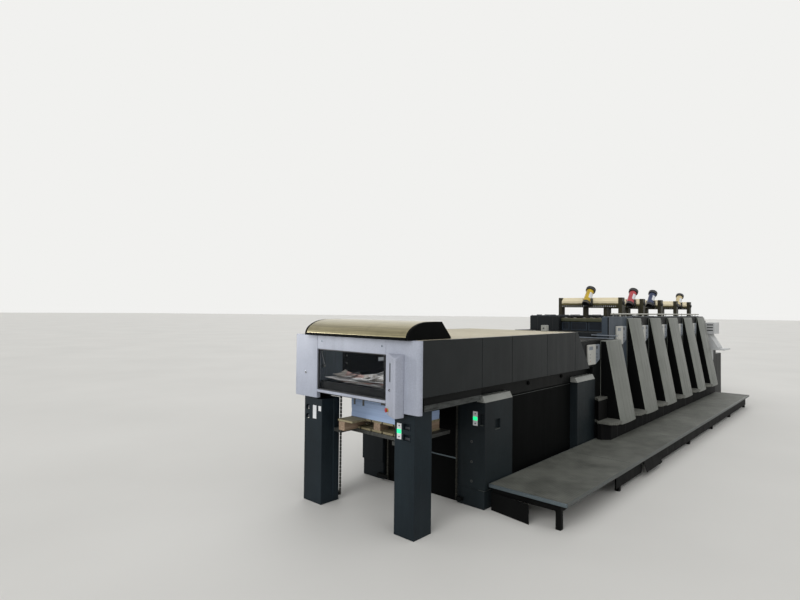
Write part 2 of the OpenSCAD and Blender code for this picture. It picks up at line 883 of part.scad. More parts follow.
// Ink cartridge on its carriage, which slides across the press along the guard
carriage_d = 75;
carriage_h = 110;
cartridge_cap_l = 50;
// Lower end of the cartridge's axis, ahead of the guard and above the beam
cartridge_front = 140;
cartridge_low = 10;

module ink_cartridge(k, y) {
    x = unit_x + (k - 1) * pitch + fountain_x - fountain_d / 2;
    placed() translate([x, y, fountain_z + beam_h]) {
        color("#1f2022") block([-carriage_d, -carriage_w / 2, run_gap],
            [-run_gap, carriage_w / 2, carriage_h]);
        translate([-cartridge_front, 0, cartridge_low]) rotate([0, cartridge_tilt, 0]) {
            color("#b89b12") cylinder(h = cartridge_l, d = cartridge_dia);
            color("#171717") translate([0, 0, cartridge_l - clear])
                cylinder(h = cartridge_cap_l, d = cartridge_cap_dia);
        }
    }
}

// Feeder

module feeder_side_frames() {
    placed() color("#1f2123") for (side = sides) {
        y_mid = side * (unit_side - feeder_side_t / 2);
        across(y_mid - feeder_side_t / 2, y_mid + feeder_side_t / 2)
            polygon([[units_end, 0], [feeder_end, 0], [feeder_end, feeder_h],
                [units_end + feeder_high_l, feeder_h], [units_end + feeder_high_l, feeder_front_h],
                [units_end, feeder_front_h]]);
    }
}

feeder_in_y = unit_side - feeder_side_t;
head_from = 60;
head_x = units_end + feed_l + head_from;
feeder_pile_x = units_end + feed_l;
head_d = 330;
head_w = 380;
head_beam_d = 120;
head_beam_h = 90;

module feeder_head() {
    placed() color("#3b3d3f") {
        block([head_x + (head_d - head_beam_d) / 2, -feeder_in_y, feeder_front_h - head_beam_h],
            [head_x + (head_d + head_beam_d) / 2, feeder_in_y, feeder_front_h]);
        block([head_x, -head_w / 2, feeder_front_h - clear], [head_x + head_d, head_w / 2, head_top]);
    }
}

// Feed board falling from the head to the last unit
feed_low_z = 1060;
feed_high_z = 1210;
feed_t = 30;

module feed_board() {
    placed() color("#9a9c98") across(-feeder_in_y, feeder_in_y)
        polygon([[units_end, feed_low_z], [feeder_pile_x, feed_high_z],
            [feeder_pile_x, feed_high_z + feed_t], [units_end, feed_low_z + feed_t]]);
}

feeder_board_t = 60;
feeder_board_d = 780;

module feeder_pile_board() {
    placed() color("#4a4b47")
        block([feeder_pile_x, -feeder_in_y, feeder_pile_z - feeder_board_t],
            [feeder_pile_x + feeder_board_d, feeder_in_y, feeder_pile_z]);
}

// Console beside the feeder: a post, a box, a sloping key panel and a shelf
post_t = 60;
post_low = 900;
box_low = 1500;
box_high = 1750;
box_out = 170;
desk_low = 1200;
desk_out = 240;
shelf_z = 1150;
shelf_t = 25;
shelf_out = 380;
shelf_over = 40;

module feeder_console() {
    x_low = units_end + feeder_console_from;
    x_high = x_low + feeder_console_l;
    y = -unit_side;
    placed() color("#a9adb0") {
        block([x_low + shelf_over, y - post_t, post_low], [x_high - shelf_over, y, box_high - clear]);
        block([x_low, y - box_out, box_low], [x_high, y, box_high]);
        along(x_low + shelf_over, x_high - shelf_over)
            polygon([[y - post_t + clear, desk_low], [y - desk_out, desk_low],
                [y - post_t + clear, box_low + clear]]);
        block([x_low - shelf_over, y - shelf_out, shelf_z], [x_high + shelf_over, y, shelf_z + shelf_t]);
        block([x_low + shelf_over, y - desk_out, shelf_z], [x_high - shelf_over, y, desk_low + clear]);
    }
}

// Footboards

module footboard_operator() {
    placed() color("#5c5d56")
        block([board_x, -board_out_y, board_low], [board_end, -board_in_y, board_z]);
}

module footboard_drive() {
    placed() color("#5c5d56")
        block([board_x_drive, board_in_y, board_low], [board_end, board_out_y, board_z]);
}

// Frame under a footboard: two rails, cross bars between them and legs under them
bays = 6;
rail_h = 60;
frame_side_in = 30;

module board_frame(x_low, side) {
    low_in = board_in_y + frame_side_in;
    low_out = board_out_y - skirt_in - skirt_t - foot_w;
    bay = (board_end - x_low - 2 * frame_side_in - foot_w) / bays;
    y_cross = side * (low_in + low_out + foot_w) / 2;
    reach = (low_out - low_in - foot_w) / 2 - clear;
    for (y = [low_in, low_out]) {
        y_mid = side * (y + foot_w / 2);
        block([x_low + frame_side_in, y_mid - foot_w / 2, board_low - rail_h],
            [board_end - frame_side_in, y_mid + foot_w / 2, board_low]);
        for (i = [0 : bays])
            block([x_low + frame_side_in + i * bay, y_mid - foot_w / 2, 0],
                [x_low + frame_side_in + i * bay + foot_w, y_mid + foot_w / 2,
                board_low - rail_h - clear]);
    }
    for (i = [0 : bays])
        block([x_low + frame_side_in + i * bay, y_cross - reach, board_low - rail_h],
            [x_low + frame_side_in + i * bay + foot_w, y_cross + reach, board_low]);
}

module board_frames() {
    placed() color("#1a1b1c") {
        board_frame(board_x, -1);
        board_frame(board_x_drive, 1);
    }
}

// Skirts: the operator side lacks its first panels and one more, which has come loose
skirt_start = 1351;
skirt_gap_from = 2187;
skirt_gap_to = 2767;
skirt_seam = 6;
skirt_run = 1180;

module skirt_row(x_low, x_high, side) {
    count = max(1, round((x_high - x_low) / skirt_run));
    step = (x_high - x_low) / count;
    y_mid = side * (board_out_y - skirt_in - skirt_t / 2);
    for (i = [0 : count - 1])
        block([x_low + i * step, y_mid - skirt_t / 2, board_low - skirt_h],
            [x_low + (i + 1) * step - skirt_seam, y_mid + skirt_t / 2, board_low]);
}

module board_skirts() {
    placed() color("#191b1c") {
        skirt_row(board_x + skirt_start, board_x + skirt_gap_from, -1);
        skirt_row(board_x + skirt_gap_to, board_end, -1);
        skirt_row(board_x_drive, board_end, 1);
    }
}

// Loose skirts: one stands askew across the near end, one leans out from the rail
loose_l = 450;
loose_h = 180;
loose_in = 15;
loose_turn = 9;
flap_lean = 20;

module loose_skirts() {
    loose_x = board_x + frame_side_in + loose_in * tan(loose_turn) - clear / cos(loose_turn);
    flap_y = -board_out_y + skirt_in + skirt_t - clear;
    placed() color("#15171a") {
        translate([loose_x, -board_in_y - frame_side_in + loose_in, 0]) rotate([0, 0, -loose_turn])
            block([-skirt_t, -loose_l, 0], [0, 0, loose_h]);
        translate([board_x + skirt_gap_from, flap_y, board_low - skirt_t * sin(flap_lean) - clear])
            rotate([-flap_lean, 0, 0])
                block([0, -skirt_t, -skirt_h], [skirt_gap_to - skirt_gap_from, 0, 0]);
    }
}

module printing_unit_1() {
    printing_unit(1);
}

module printing_unit_2() {
    printing_unit(2);
}

module printing_unit_3() {
    printing_unit(3);
}

module printing_unit_4() {
    printing_unit(4);
}

module printing_unit_5() {
    printing_unit(5);
}

module ink_fountain_1() {
    ink_fountain(1);
}

module ink_fountain_2() {
    ink_fountain(2);
}

module ink_fountain_3() {
    ink_fountain(3);
}

module ink_fountain_4() {
    ink_fountain(4);
}

module ink_fountain_5() {
    ink_fountain(5);
}

// Places of the cartridges across the press at rest
cartridge_y = [0, -360, -380, -330];

module ink_cartridge_1() {
    ink_cartridge(1, cartridge_y[0]);
}

module ink_cartridge_2() {
    ink_cartridge(2, cartridge_y[1]);
}

module ink_cartridge_3() {
    ink_cartridge(3, cartridge_y[2]);
}

module ink_cartridge_5() {
    ink_cartridge(5, cartridge_y[3]);
}

front_leg_operator();
front_leg_drive();
pillars_operator();
pillars_drive();
pillar_caps();
under_panels();
delivery_base();
delivery_side_frames();
side_panel_operator();
side_panel_drive();
delivery_housing();
delivery_deck();
hood();
hood_trim();
front_cover_operator();
front_cover_drive();
front_top_strip();
window_sill();
delivery_window();
control_console();
side_guards();
hoist_chains();
pile_platform();
pile_pallet();
paper_stack();
coating_unit();
printing_unit_1();
printing_unit_2();
printing_unit_3();
printing_unit_4();
printing_unit_5();
covers_operator();
covers_drive();
unit_displays();
toe_boxes();
step_pads();
conduit_rail();
ink_fountain_1();
ink_fountain_2();
ink_fountain_3();
ink_fountain_4();
ink_fountain_5();
fountain_guards();
ink_cartridge_1();
ink_cartridge_2();
ink_cartridge_3();
ink_cartridge_5();
feeder_side_frames();
feeder_head();
feed_board();
feeder_pile_board();
feeder_console();
footboard_operator();
footboard_drive();
board_frames();
board_skirts();
loose_skirts();
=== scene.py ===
import math
import random
import bmesh
import bpy
from mathutils import Matrix, Vector


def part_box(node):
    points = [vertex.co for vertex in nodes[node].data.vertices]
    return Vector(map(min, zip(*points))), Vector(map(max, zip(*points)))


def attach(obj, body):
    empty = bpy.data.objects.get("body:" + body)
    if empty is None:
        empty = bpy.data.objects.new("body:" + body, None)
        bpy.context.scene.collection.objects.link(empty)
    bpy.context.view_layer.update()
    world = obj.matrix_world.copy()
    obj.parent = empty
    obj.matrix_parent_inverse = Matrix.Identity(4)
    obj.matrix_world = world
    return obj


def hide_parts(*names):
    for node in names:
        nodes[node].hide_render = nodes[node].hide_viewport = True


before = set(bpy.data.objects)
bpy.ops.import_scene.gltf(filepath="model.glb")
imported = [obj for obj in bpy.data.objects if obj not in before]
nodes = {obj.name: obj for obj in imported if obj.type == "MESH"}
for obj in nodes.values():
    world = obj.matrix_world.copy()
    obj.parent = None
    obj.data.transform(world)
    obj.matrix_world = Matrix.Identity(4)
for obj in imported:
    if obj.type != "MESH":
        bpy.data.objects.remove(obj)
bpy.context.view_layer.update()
print("frame loaded,", len(nodes), "nodes")


# Places come from the frame: along the press from the front legs, in from the operator side's outer
# face, and up from the floor
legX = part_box("front_leg_operator")[0].x
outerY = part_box("front_leg_operator")[0].y
units = 5
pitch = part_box("printing_unit_2")[0].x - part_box("printing_unit_1")[0].x


def spot(x, y, z):
    return Vector((legX + x, outerY + y, z))


# The camera stands at the operator side's front corner and looks along the press
cameraLook = {
    "place": (-9.077, -3.677, 1.95),
    "turn": 42.262,
    "rise": 1.129,
    "roll": -0.588,
    "focalPixels": 529.93,
    "imageWidth": 800,
    "sensor": 36,
}


def placeCamera(look):
    turn, rise, roll = (math.radians(look[key]) for key in ("turn", "rise", "roll"))
    forward = Vector((math.cos(turn) * math.cos(rise), math.sin(turn) * math.cos(rise), math.sin(rise)))
    flat = Vector((math.sin(turn), -math.cos(turn), 0))
    down = forward.cross(flat)
    right = flat * math.cos(roll) + down * math.sin(roll)
    up = flat * math.sin(roll) - down * math.cos(roll)
    turned = Matrix((right, up, -forward)).transposed().to_4x4()
    data = bpy.data.cameras.new("photoCamera")
    data.sensor_fit = "HORIZONTAL"
    data.sensor_width = look["sensor"]
    data.lens = look["focalPixels"] / look["imageWidth"] * look["sensor"]
    data.clip_end = 200
    camera = bpy.data.objects.new("photoCamera", data)
    camera.matrix_world = Matrix.Translation(look["place"]) @ turned
    bpy.context.scene.collection.objects.link(camera)
    bpy.context.scene.camera = camera


placeCamera(cameraLook)
print("camera placed")


# Materials

def linear(hexColour):
    channels = [int(hexColour[i:i + 2], 16) / 255 for i in (0, 2, 4)]
    return tuple(c / 12.92 if c <= 0.04045 else ((c + 0.055) / 1.055) ** 2.4 for c in channels) + (1,)


def addNode(tree, kind, inputs=None, stops=None, **settings):
    node = tree.nodes.new("ShaderNode" + kind)
    for key, value in settings.items():
        setattr(node, key, value)
    for key, value in (inputs or {}).items():
        if isinstance(value, bpy.types.NodeSocket):
            tree.links.new(value, node.inputs[key])
        else:
            node.inputs[key].default_value = value
    if stops:
        ramp = node.color_ramp.elements
        while len(ramp) < len(stops):
            ramp.new(0.5)
        for element, (position, colour) in zip(ramp, stops):
            element.position = position
            element.color = linear(colour)
    return node


def startMaterial(name):
    material = bpy.data.materials.new(name)
    material.use_nodes = True
    tree = material.node_tree
    shader = tree.nodes["Principled BSDF"]
    place = addNode(tree, "TexCoord").outputs["Object"]
    return material, tree, shader, place


# Stove enamel on sheet steel: an even satin coat with a fine orange peel, faint clouding, and the
# greasy streaks and settled dust of a print shop
enamelBase = {"cloud": 0.5, "streak": (0.09, 0.09, 0.9), "dirt": "57554C", "dirtShare": 0.35,
    "rough": 0.42, "peel": 0.0035, "peelDepth": 0.00012, "speck": 0.012, "sheen": 0.14, "axis": "Z"}


def enamel(name, colour, shade, **changes):
    look = {**enamelBase, **changes}
    material, tree, shader, place = startMaterial(name)
    cloud = addNode(tree, "TexNoise",
        {"Vector": place, "Scale": 1 / look["cloud"], "Detail": 5, "Roughness": 0.6})
    base = addNode(tree, "ValToRGB", {"Fac": cloud.outputs["Fac"]}, [(0.36, shade), (0.64, colour)])
    across = addNode(tree, "Mapping",
        {"Vector": place, "Scale": tuple(1 / size for size in look["streak"])})
    streak = addNode(tree, "TexNoise",
        {"Vector": across.outputs["Vector"], "Scale": 1, "Detail": 7, "Roughness": 0.72})
    mask = addNode(tree, "MapRange",
        {"Value": streak.outputs["Fac"], "From Min": 0.5, "From Max": 0.8, "To Max": look["dirtShare"]})
    dirty = addNode(tree, "Mix",
        {0: mask.outputs["Result"], 6: base.outputs["Color"], 7: linear(look["dirt"])}, data_type="RGBA")
    speck = addNode(tree, "TexNoise",
        {"Vector": place, "Scale": 1 / look["speck"], "Detail": 3, "Roughness": 0.7})
    light = addNode(tree, "MapRange",
        {"Value": speck.outputs["Fac"], "From Min": 0.3, "From Max": 0.7, "To Min": 0.9, "To Max": 1.1})
    tone = addNode(tree, "HueSaturation", {"Value": light.outputs["Result"], "Color": dirty.outputs[2]})
    colourOut = tone.outputs["Color"]
    if "upper" in look:  # a second colour past a place on one axis, such as ink dried along the lower half
        apart = addNode(tree, "SeparateXYZ", {"Vector": place})
        ragged = addNode(tree, "MapRange", {"Value": streak.outputs["Fac"], "To Min": -0.014, "To Max": 0.014})
        height = addNode(tree, "Math", {0: apart.outputs[look["axis"]], 1: ragged.outputs["Result"]}, operation="ADD")
        share = addNode(tree, "MapRange", {"Value": height.outputs[0], "From Min": look["split"] - 0.006,
            "From Max": look["split"] + 0.006})
        both = addNode(tree, "Mix", {0: share.outputs["Result"], 6: colourOut, 7: linear(look["upper"])},
            data_type="RGBA")
        colourOut = both.outputs[2]
    rough = addNode(tree, "MapRange",
        {"Value": streak.outputs["Fac"], "From Min": 0.3, "From Max": 0.7,
        "To Min": look["rough"] - 0.08, "To Max": look["rough"] + 0.1})
    peel = addNode(tree, "TexNoise", {"Vector": place, "Scale": 1 / look["peel"], "Detail": 2})
    bump = addNode(tree, "Bump",
        {"Height": peel.outputs["Fac"], "Strength": 0.5, "Distance": look["peelDepth"]})
    tree.links.new(colourOut, shader.inputs["Base Color"])
    tree.links.new(rough.outputs["Result"], shader.inputs["Roughness"])
    tree.links.new(bump.outputs["Normal"], shader.inputs["Normal"])
    shader.inputs["Specular IOR Level"].default_value = look["sheen"]
    return material


frontEnamel = enamel("pearl grey stove enamel", "A4A9B6", "989DAA", dirt="7A7D85", dirtShare=0.3, sheen=0.3)
consoleEnamel = enamel("light grey structured enamel", "A6AAB7", "999DA9", dirt="7A7D85", peel=0.005,
    rough=0.5, sheen=0.25)
panelEnamel = enamel("charcoal satin enamel", "222526", "1D2021", dirt="2D2F2F", dirtShare=0.25, sheen=0.12)
frameEnamel = enamel("black grey machine enamel", "111313", "0D0E0E", dirt="1F201F", dirtShare=0.3, sheen=0.06)
legEnamel = enamel("blue black machine enamel", "1D272D", "182025", dirt="2C3337", dirtShare=0.35, sheen=0.12)
pillarEnamel = enamel("black grey pillar enamel", "1D2427", "181D20", dirt="2B2E2F", dirtShare=0.3, sheen=0.1)
underEnamel = enamel("matt black panel enamel", "0B0C0C", "080909", dirt="121311", rough=0.6, sheen=0.03)
capEnamel = enamel("silver grey cap enamel", "989A96", "8A8C88", dirt="6C6D69", dirtShare=0.45)
coverEnamel = enamel("stone grey cover enamel", "6C6F69", "62655F", dirt="43453F", dirtShare=0.5,
    streak=(0.035, 0.2, 1.1), speck=0.006, sheen=0.22, rough=0.38)
# a lighter copy of the cover enamel for the covers' eased edges: painted highlight on rubbed edges
coverEdgeHighlightEnamel = enamel("rubbed cover edge enamel lightened as painted highlight", "83867F", "6E716B", dirt="4E504A", streak=(0.02, 0.02, 0.12))
unitEnamel = enamel("slate blue machine enamel", "424B54", "373F48", dirt="3A392E", dirtShare=0.4)
firstUnitEnamel = enamel("slate blue and black machine enamel", "424B54", "373F48", dirt="33322A", upper="1E2123",
    split=-0.60, axis="Y")
wellEnamel = enamel("dark blue well enamel", "1C2229", "161A20", dirt="2A2922", dirtShare=0.5, sheen=0.15)
panelFrameEnamel = enamel("grey blue panel enamel", "2E363F", "252C33", dirt="2F2E27", dirtShare=0.5)
oliveEnamel = enamel("oil stained olive enamel", "484A36", "373826", dirt="241F13", dirtShare=0.75,
    streak=(0.05, 0.22, 0.03), rough=0.34, sheen=0.3)
tarnish = enamel("tarnished brass shim", "6F6330", "4E4420", dirt="2C2613", dirtShare=0.8,
    streak=(0.03, 0.12, 0.03), rough=0.34, sheen=0.4)
fountainEnamel = enamel("ink stained fountain enamel", "37352A", "29271D", dirt="575134", dirtShare=0.6)
guardEnamel = enamel("cream guard enamel with dried ink", "625A3A", "4C4730", dirt="2F2A1B", dirtShare=0.6,
    upper="DDD2B3", split=2.105)
deckCoat = enamel("cream deck laminate", "BDB59F", "B0A892", dirt="928A75", dirtShare=0.45, rough=0.6,
    sheen=0.08)
boxEnamel = enamel("black box enamel", "0B0C0C", "090909", dirt="171815", dirtShare=0.4, rough=0.6,
    sheen=0.06)
displayCoat = enamel("white display coat", "B4B4AE", "A8A8A2", dirt="84847E", rough=0.35, sheen=0.25)
stripCoat = enamel("grey display strip", "7C838B", "70777F", rough=0.4)
hutchEnamel = enamel("light grey feeder enamel", "B9BBBB", "ACAEAE", dirt="8A8B88")
stoveBlack = enamel("black inner sheet steel", "1C1E20", "141617", dirt="2E2E2C", dirtShare=0.5)
linerCoat = enamel("pale liner sheet", "5E6870", "4C555C", dirt="33383B", dirtShare=0.5)


# Moulded ABS and other plastics: an even colour with a fine spark-eroded grain and a soft sheen
def plastic(name, colour, shade, rough=0.45, grain=0.0016):
    material, tree, shader, place = startMaterial(name)
    cloud = addNode(tree, "TexNoise", {"Vector": place, "Scale": 12, "Detail": 3})
    base = addNode(tree, "ValToRGB", {"Fac": cloud.outputs["Fac"]}, [(0.3, shade), (0.7, colour)])
    spark = addNode(tree, "TexNoise", {"Vector": place, "Scale": 1 / grain, "Detail": 2})
    bump = addNode(tree, "Bump", {"Height": spark.outputs["Fac"], "Strength": 0.4, "Distance": 0.0001})
    sheen = addNode(tree, "MapRange",
        {"Value": cloud.outputs["Fac"], "To Min": rough - 0.08, "To Max": rough + 0.08})
    tree.links.new(base.outputs["Color"], shader.inputs["Base Color"])
    tree.links.new(sheen.outputs["Result"], shader.inputs["Roughness"])
    tree.links.new(bump.outputs["Normal"], shader.inputs["Normal"])
    return material


blackPlastic = plastic("black moulded ABS", "1C1D1E", "141516")
keyPlastic = plastic("dark grey key plastic", "3A3D42", "303338", 0.5)
whitePlastic = plastic("blank white label film", "D3D5D7", "C8CACC", 0.4)
yellowPlastic = plastic("yellow polyethylene", "C2A41A", "AD8F14", 0.4)
magentaPlastic = plastic("magenta polyethylene", "B04048", "9A343C", 0.4)
bluePlastic = plastic("navy polyethylene", "27345A", "1E2A48", 0.4)
beigePlastic = plastic("beige polyethylene", "CDBE96", "BCAB80", 0.4)
redPlastic = plastic("red button plastic", "B8221E", "9C1B18", 0.3)
rollerRubber = plastic("nitrile roller rubber", "242B36", "1B2028", 0.35)


# Lamps behind clear lenses glow evenly
def lampLens(name, colour, strength):
    material, tree, shader, place = startMaterial(name)
    ripple = addNode(tree, "TexVoronoi", {"Vector": place, "Scale": 400})
    glow = addNode(tree, "ValToRGB", {"Fac": ripple.outputs["Distance"]}, [(0.0, colour), (1.0, colour)])
    tree.links.new(glow.outputs["Color"], shader.inputs["Base Color"])
    tree.links.new(glow.outputs["Color"], shader.inputs["Emission Color"])
    shader.inputs["Emission Strength"].default_value = strength
    return material


greenLamp = lampLens("green lamp lens", "19E08C", 1.0)
whiteLamp = lampLens("white lamp lens", "B9C0C6", 0.35)


# Bare metals: drawn, brushed or ground, with lines along the working direction and darker stains
def bareMetal(name, colour, shade, stretch, rough=0.35, stain=0.5, metallic=0.9):
    material, tree, shader, place = startMaterial(name)
    along = addNode(tree, "Mapping", {"Vector": place, "Scale": tuple(1 / size for size in stretch)})
    lines = addNode(tree, "TexNoise",
        {"Vector": along.outputs["Vector"], "Scale": 1, "Detail": 8, "Roughness": 0.75})
    base = addNode(tree, "ValToRGB", {"Fac": lines.outputs["Fac"]}, [(0.35, shade), (0.65, colour)])
    cloud = addNode(tree, "TexNoise", {"Vector": place, "Scale": 7, "Detail": 6, "Roughness": 0.65})
    mask = addNode(tree, "MapRange",
        {"Value": cloud.outputs["Fac"], "From Min": 0.5, "From Max": 0.75, "To Max": stain})
    worn = addNode(tree, "Mix",
        {0: mask.outputs["Result"], 6: base.outputs["Color"], 7: linear(shade)}, data_type="RGBA")
    sheen = addNode(tree, "MapRange",
        {"Value": lines.outputs["Fac"], "To Min": rough - 0.1, "To Max": rough + 0.15})
    bump = addNode(tree, "Bump", {"Height": lines.outputs["Fac"], "Strength": 0.25, "Distance": 0.0004})
    tree.links.new(worn.outputs[2], shader.inputs["Base Color"])
    tree.links.new(sheen.outputs["Result"], shader.inputs["Roughness"])
    tree.links.new(bump.outputs["Normal"], shader.inputs["Normal"])
    shader.inputs["Metallic"].default_value = metallic
    return material


hoodMetal = bareMetal("brushed bronze steel", "A1987A", "6C664F", (0.006, 0.9, 0.006), 0.34, 0.5, 0.85)
trimMetal = bareMetal("drawn aluminium trim", "7C878C", "545F65", (0.5, 0.004, 0.004), 0.35)
wornEdge = bareMetal("worn anodised edge", "5B605E", "3B3F3E", (0.6, 0.006, 0.006), 0.4, 0.6, 0.6)
railMetal = bareMetal("galvanised steel tube", "B4B3AB", "8F8E86", (0.3, 0.02, 0.02), 0.4)
chromeMetal = bareMetal("ground chromed steel", "C8CBCE", "A4A8AC", (0.02, 0.6, 0.02), 0.16, 0.2, 1.0)
chainMetal = bareMetal("oiled chain steel", "66665F", "35342F", (0.01, 0.01, 0.01), 0.4, 0.6)
platformMetal = bareMetal("scuffed platform steel", "50524F", "2B2C2A", (0.25, 0.02, 0.02), 0.5, 0.7, 0.4)
guardMetal = bareMetal("scuffed black strip steel", "5C605E", "0B0C0B", (0.12, 0.005, 0.02), 0.5, 0.9, 0.3)
boltMetal = bareMetal("zinc plated bolts", "9C9D98", "6F706B", (0.01, 0.01, 0.01), 0.35)


# Tread rubber: moulded ribs along the step, ground pale by shoes in patches, the grooves between the ribs darkened in
# colour as painted shade
def treadRubber(name, colour, worn, ribPitch, ribDepth, direction):
    material, tree, shader, place = startMaterial(name)
    ribs = addNode(tree, "TexWave",
        {"Vector": place, "Scale": math.pi / 10 / ribPitch, "Distortion": 0.0},
        bands_direction=direction, wave_profile="SIN")
    patch = addNode(tree, "TexNoise",
        {"Vector": place, "Scale": 2.1, "Detail": 10, "Roughness": 0.7, "Distortion": 0.1})
    base = addNode(tree, "ValToRGB", {"Fac": patch.outputs["Fac"]}, [(0.34, colour), (0.66, worn)])
    grit = addNode(tree, "TexNoise", {"Vector": place, "Scale": 90, "Detail": 4, "Roughness": 0.7})
    light = addNode(tree, "MapRange",
        {"Value": grit.outputs["Fac"], "From Min": 0.3, "From Max": 0.7, "To Min": 0.86, "To Max": 1.14})
    tone = addNode(tree, "HueSaturation", {"Value": light.outputs["Result"], "Color": base.outputs["Color"]})
    # the grooves between the ribs are darkened in colour: painted shade
    paintedGrooveShade = addNode(tree, "MapRange",
        {"Value": ribs.outputs["Fac"], "From Min": 0.1, "From Max": 0.4, "To Min": 0.6, "To Max": 1.05})
    shaded = addNode(tree, "HueSaturation",
        {"Value": paintedGrooveShade.outputs["Result"], "Color": tone.outputs["Color"]})
    bump = addNode(tree, "Bump",
        {"Height": ribs.outputs["Fac"], "Strength": 0.8, "Distance": ribDepth})
    tree.links.new(shaded.outputs["Color"], shader.inputs["Base Color"])
    tree.links.new(bump.outputs["Normal"], shader.inputs["Normal"])
    shader.inputs["Roughness"].default_value = 0.62
    return material


boardRubber = treadRubber("worn ribbed rubber flooring", "3A3C36", "666861", 0.026, 0.0012, "Y")
beltWeb = treadRubber("woven feed tape", "2B3A33", "3B4B43", 0.004, 0.0003, "X")
padRubber = treadRubber("ribbed step rubber", "4C4D47", "64655E", 0.02, 0.0012, "Y")


# Coated paper: bright clean sheets, and cut edges that show each layer as fine lines
def paperSheets(name, colour, shade, layer):
    material, tree, shader, place = startMaterial(name)
    flat = addNode(tree, "Mapping", {"Vector": place, "Scale": (0.7, 0.7, 1 / layer)})
    layers = addNode(tree, "TexNoise",
        {"Vector": flat.outputs["Vector"], "Scale": 1, "Detail": 4, "Roughness": 0.8})
    base = addNode(tree, "ValToRGB", {"Fac": layers.outputs["Fac"]}, [(0.34, shade), (0.6, colour)])
    bump = addNode(tree, "Bump", {"Height": layers.outputs["Fac"], "Strength": 0.5, "Distance": 0.0006})
    tree.links.new(base.outputs["Color"], shader.inputs["Base Color"])
    tree.links.new(bump.outputs["Normal"], shader.inputs["Normal"])
    shader.inputs["Roughness"].default_value = 0.55
    return material


stackPaper = paperSheets("coated paper edges", "A6BBDC", "90A5C6", 0.006)
sheetPaper = paperSheets("coated paper sheet", "DDDEDF", "CFD1D3", 0.05)
tintPaper = paperSheets("tinted paper sheet", "BDA09A", "B08F88", 0.05)
greyPaper = paperSheets("recycled paper sheet", "A8A49E", "96928C", 0.05)


# Sawn pine: long grain along the board with darker late wood and grey handling dirt
def sawnWood(name, colour, late, direction):
    material, tree, shader, place = startMaterial(name)
    stretch = (2.2, 40, 40) if direction == "X" else (40, 2.2, 40)
    grain = addNode(tree, "Mapping", {"Vector": place, "Scale": stretch})
    rings = addNode(tree, "TexNoise",
        {"Vector": grain.outputs["Vector"], "Scale": 1, "Detail": 6, "Roughness": 0.7, "Distortion": 0.8})
    base = addNode(tree, "ValToRGB", {"Fac": rings.outputs["Fac"]}, [(0.36, late), (0.62, colour)])
    bump = addNode(tree, "Bump", {"Height": rings.outputs["Fac"], "Strength": 0.5, "Distance": 0.0008})
    tree.links.new(base.outputs["Color"], shader.inputs["Base Color"])
    tree.links.new(bump.outputs["Normal"], shader.inputs["Normal"])
    shader.inputs["Roughness"].default_value = 0.7
    return material


palletWood = sawnWood("sawn pallet pine", "948B6E", "6C634A", "Y")
runnerWood = sawnWood("sawn runner pine", "A08A76", "78644F", "X")


# Smoked acrylic sheet: thin, tinted and faintly scratched, seen through as through dark glasses
def smokedAcrylic(name, colour, cover):
    material, tree, shader, place = startMaterial(name)
    haze = addNode(tree, "TexNoise", {"Vector": place, "Scale": 5, "Detail": 6, "Roughness": 0.7})
    sheen = addNode(tree, "MapRange", {"Value": haze.outputs["Fac"], "To Min": 0.02, "To Max": 0.12})
    tint = addNode(tree, "ValToRGB", {"Fac": haze.outputs["Fac"]}, [(0.3, colour), (0.7, "1E242B")])
    tree.links.new(tint.outputs["Color"], shader.inputs["Base Color"])
    tree.links.new(sheen.outputs["Result"], shader.inputs["Roughness"])
    shader.inputs["Alpha"].default_value = cover
    shader.inputs["Specular IOR Level"].default_value = 0.25
    return material


windowAcrylic = smokedAcrylic("smoked acrylic", "12161B", 0.14)
print("materials made")


# Modelling by hand

def deselect():
    if bpy.context.mode != "OBJECT":
        bpy.ops.object.mode_set(mode="OBJECT")
    bpy.ops.object.select_all(action="DESELECT")


def activate(piece):
    deselect()
    piece.select_set(True)
    bpy.context.view_layer.objects.active = piece


def applyModifiers(piece):
    activate(piece)
    for modifier in list(piece.modifiers):
        bpy.ops.object.modifier_apply(modifier=modifier.name)
    return piece


def easeEdges(piece, width, steps=2, angle=35, slotIndex=-1):
    ease = piece.modifiers.new("ease", "BEVEL")
    ease.material = slotIndex
    ease.width = width
    ease.segments = steps
    ease.limit_method = "ANGLE"
    ease.angle_limit = math.radians(angle)
    return applyModifiers(piece)


def newBlock(low, high, ease=0.0, steps=2, material=None):
    low, high = Vector(low), Vector(high)
    corner = Vector(map(min, low, high))
    size = Vector(map(max, low, high)) - corner
    deselect()
    bpy.ops.mesh.primitive_cube_add(size=1, location=corner + size / 2, scale=size)
    piece = bpy.context.object
    bpy.ops.object.transform_apply(location=True, rotation=True, scale=True)
    if ease:
        easeEdges(piece, min(ease, min(size) * 0.45), steps)
    if material:
        piece.data.materials.append(material)
    return piece


def newDrum(start, end, radius, ease=0.0, sides=32, material=None):
    start, end = Vector(start), Vector(end)
    deselect()
    bpy.ops.mesh.primitive_cylinder_add(vertices=sides, radius=radius, depth=(end - start).length,
        location=(start + end) / 2, rotation=(end - start).to_track_quat("Z", "Y").to_euler())
    piece = bpy.context.object
    bpy.ops.object.transform_apply(location=True, rotation=True, scale=True)
    if ease:
        easeEdges(piece, ease)
    if material:
        piece.data.materials.append(material)
    return piece


def newRing(centre, direction, radius, thickness, material=None):
    deselect()
    bpy.ops.mesh.primitive_torus_add(major_radius=radius, minor_radius=thickness, major_segments=32,
        minor_segments=8, location=centre, rotation=Vector(direction).to_track_quat("Z", "Y").to_euler())
    piece = bpy.context.object
    bpy.ops.object.transform_apply(location=True, rotation=True, scale=True)
    if material:
        piece.data.materials.append(material)
    return piece


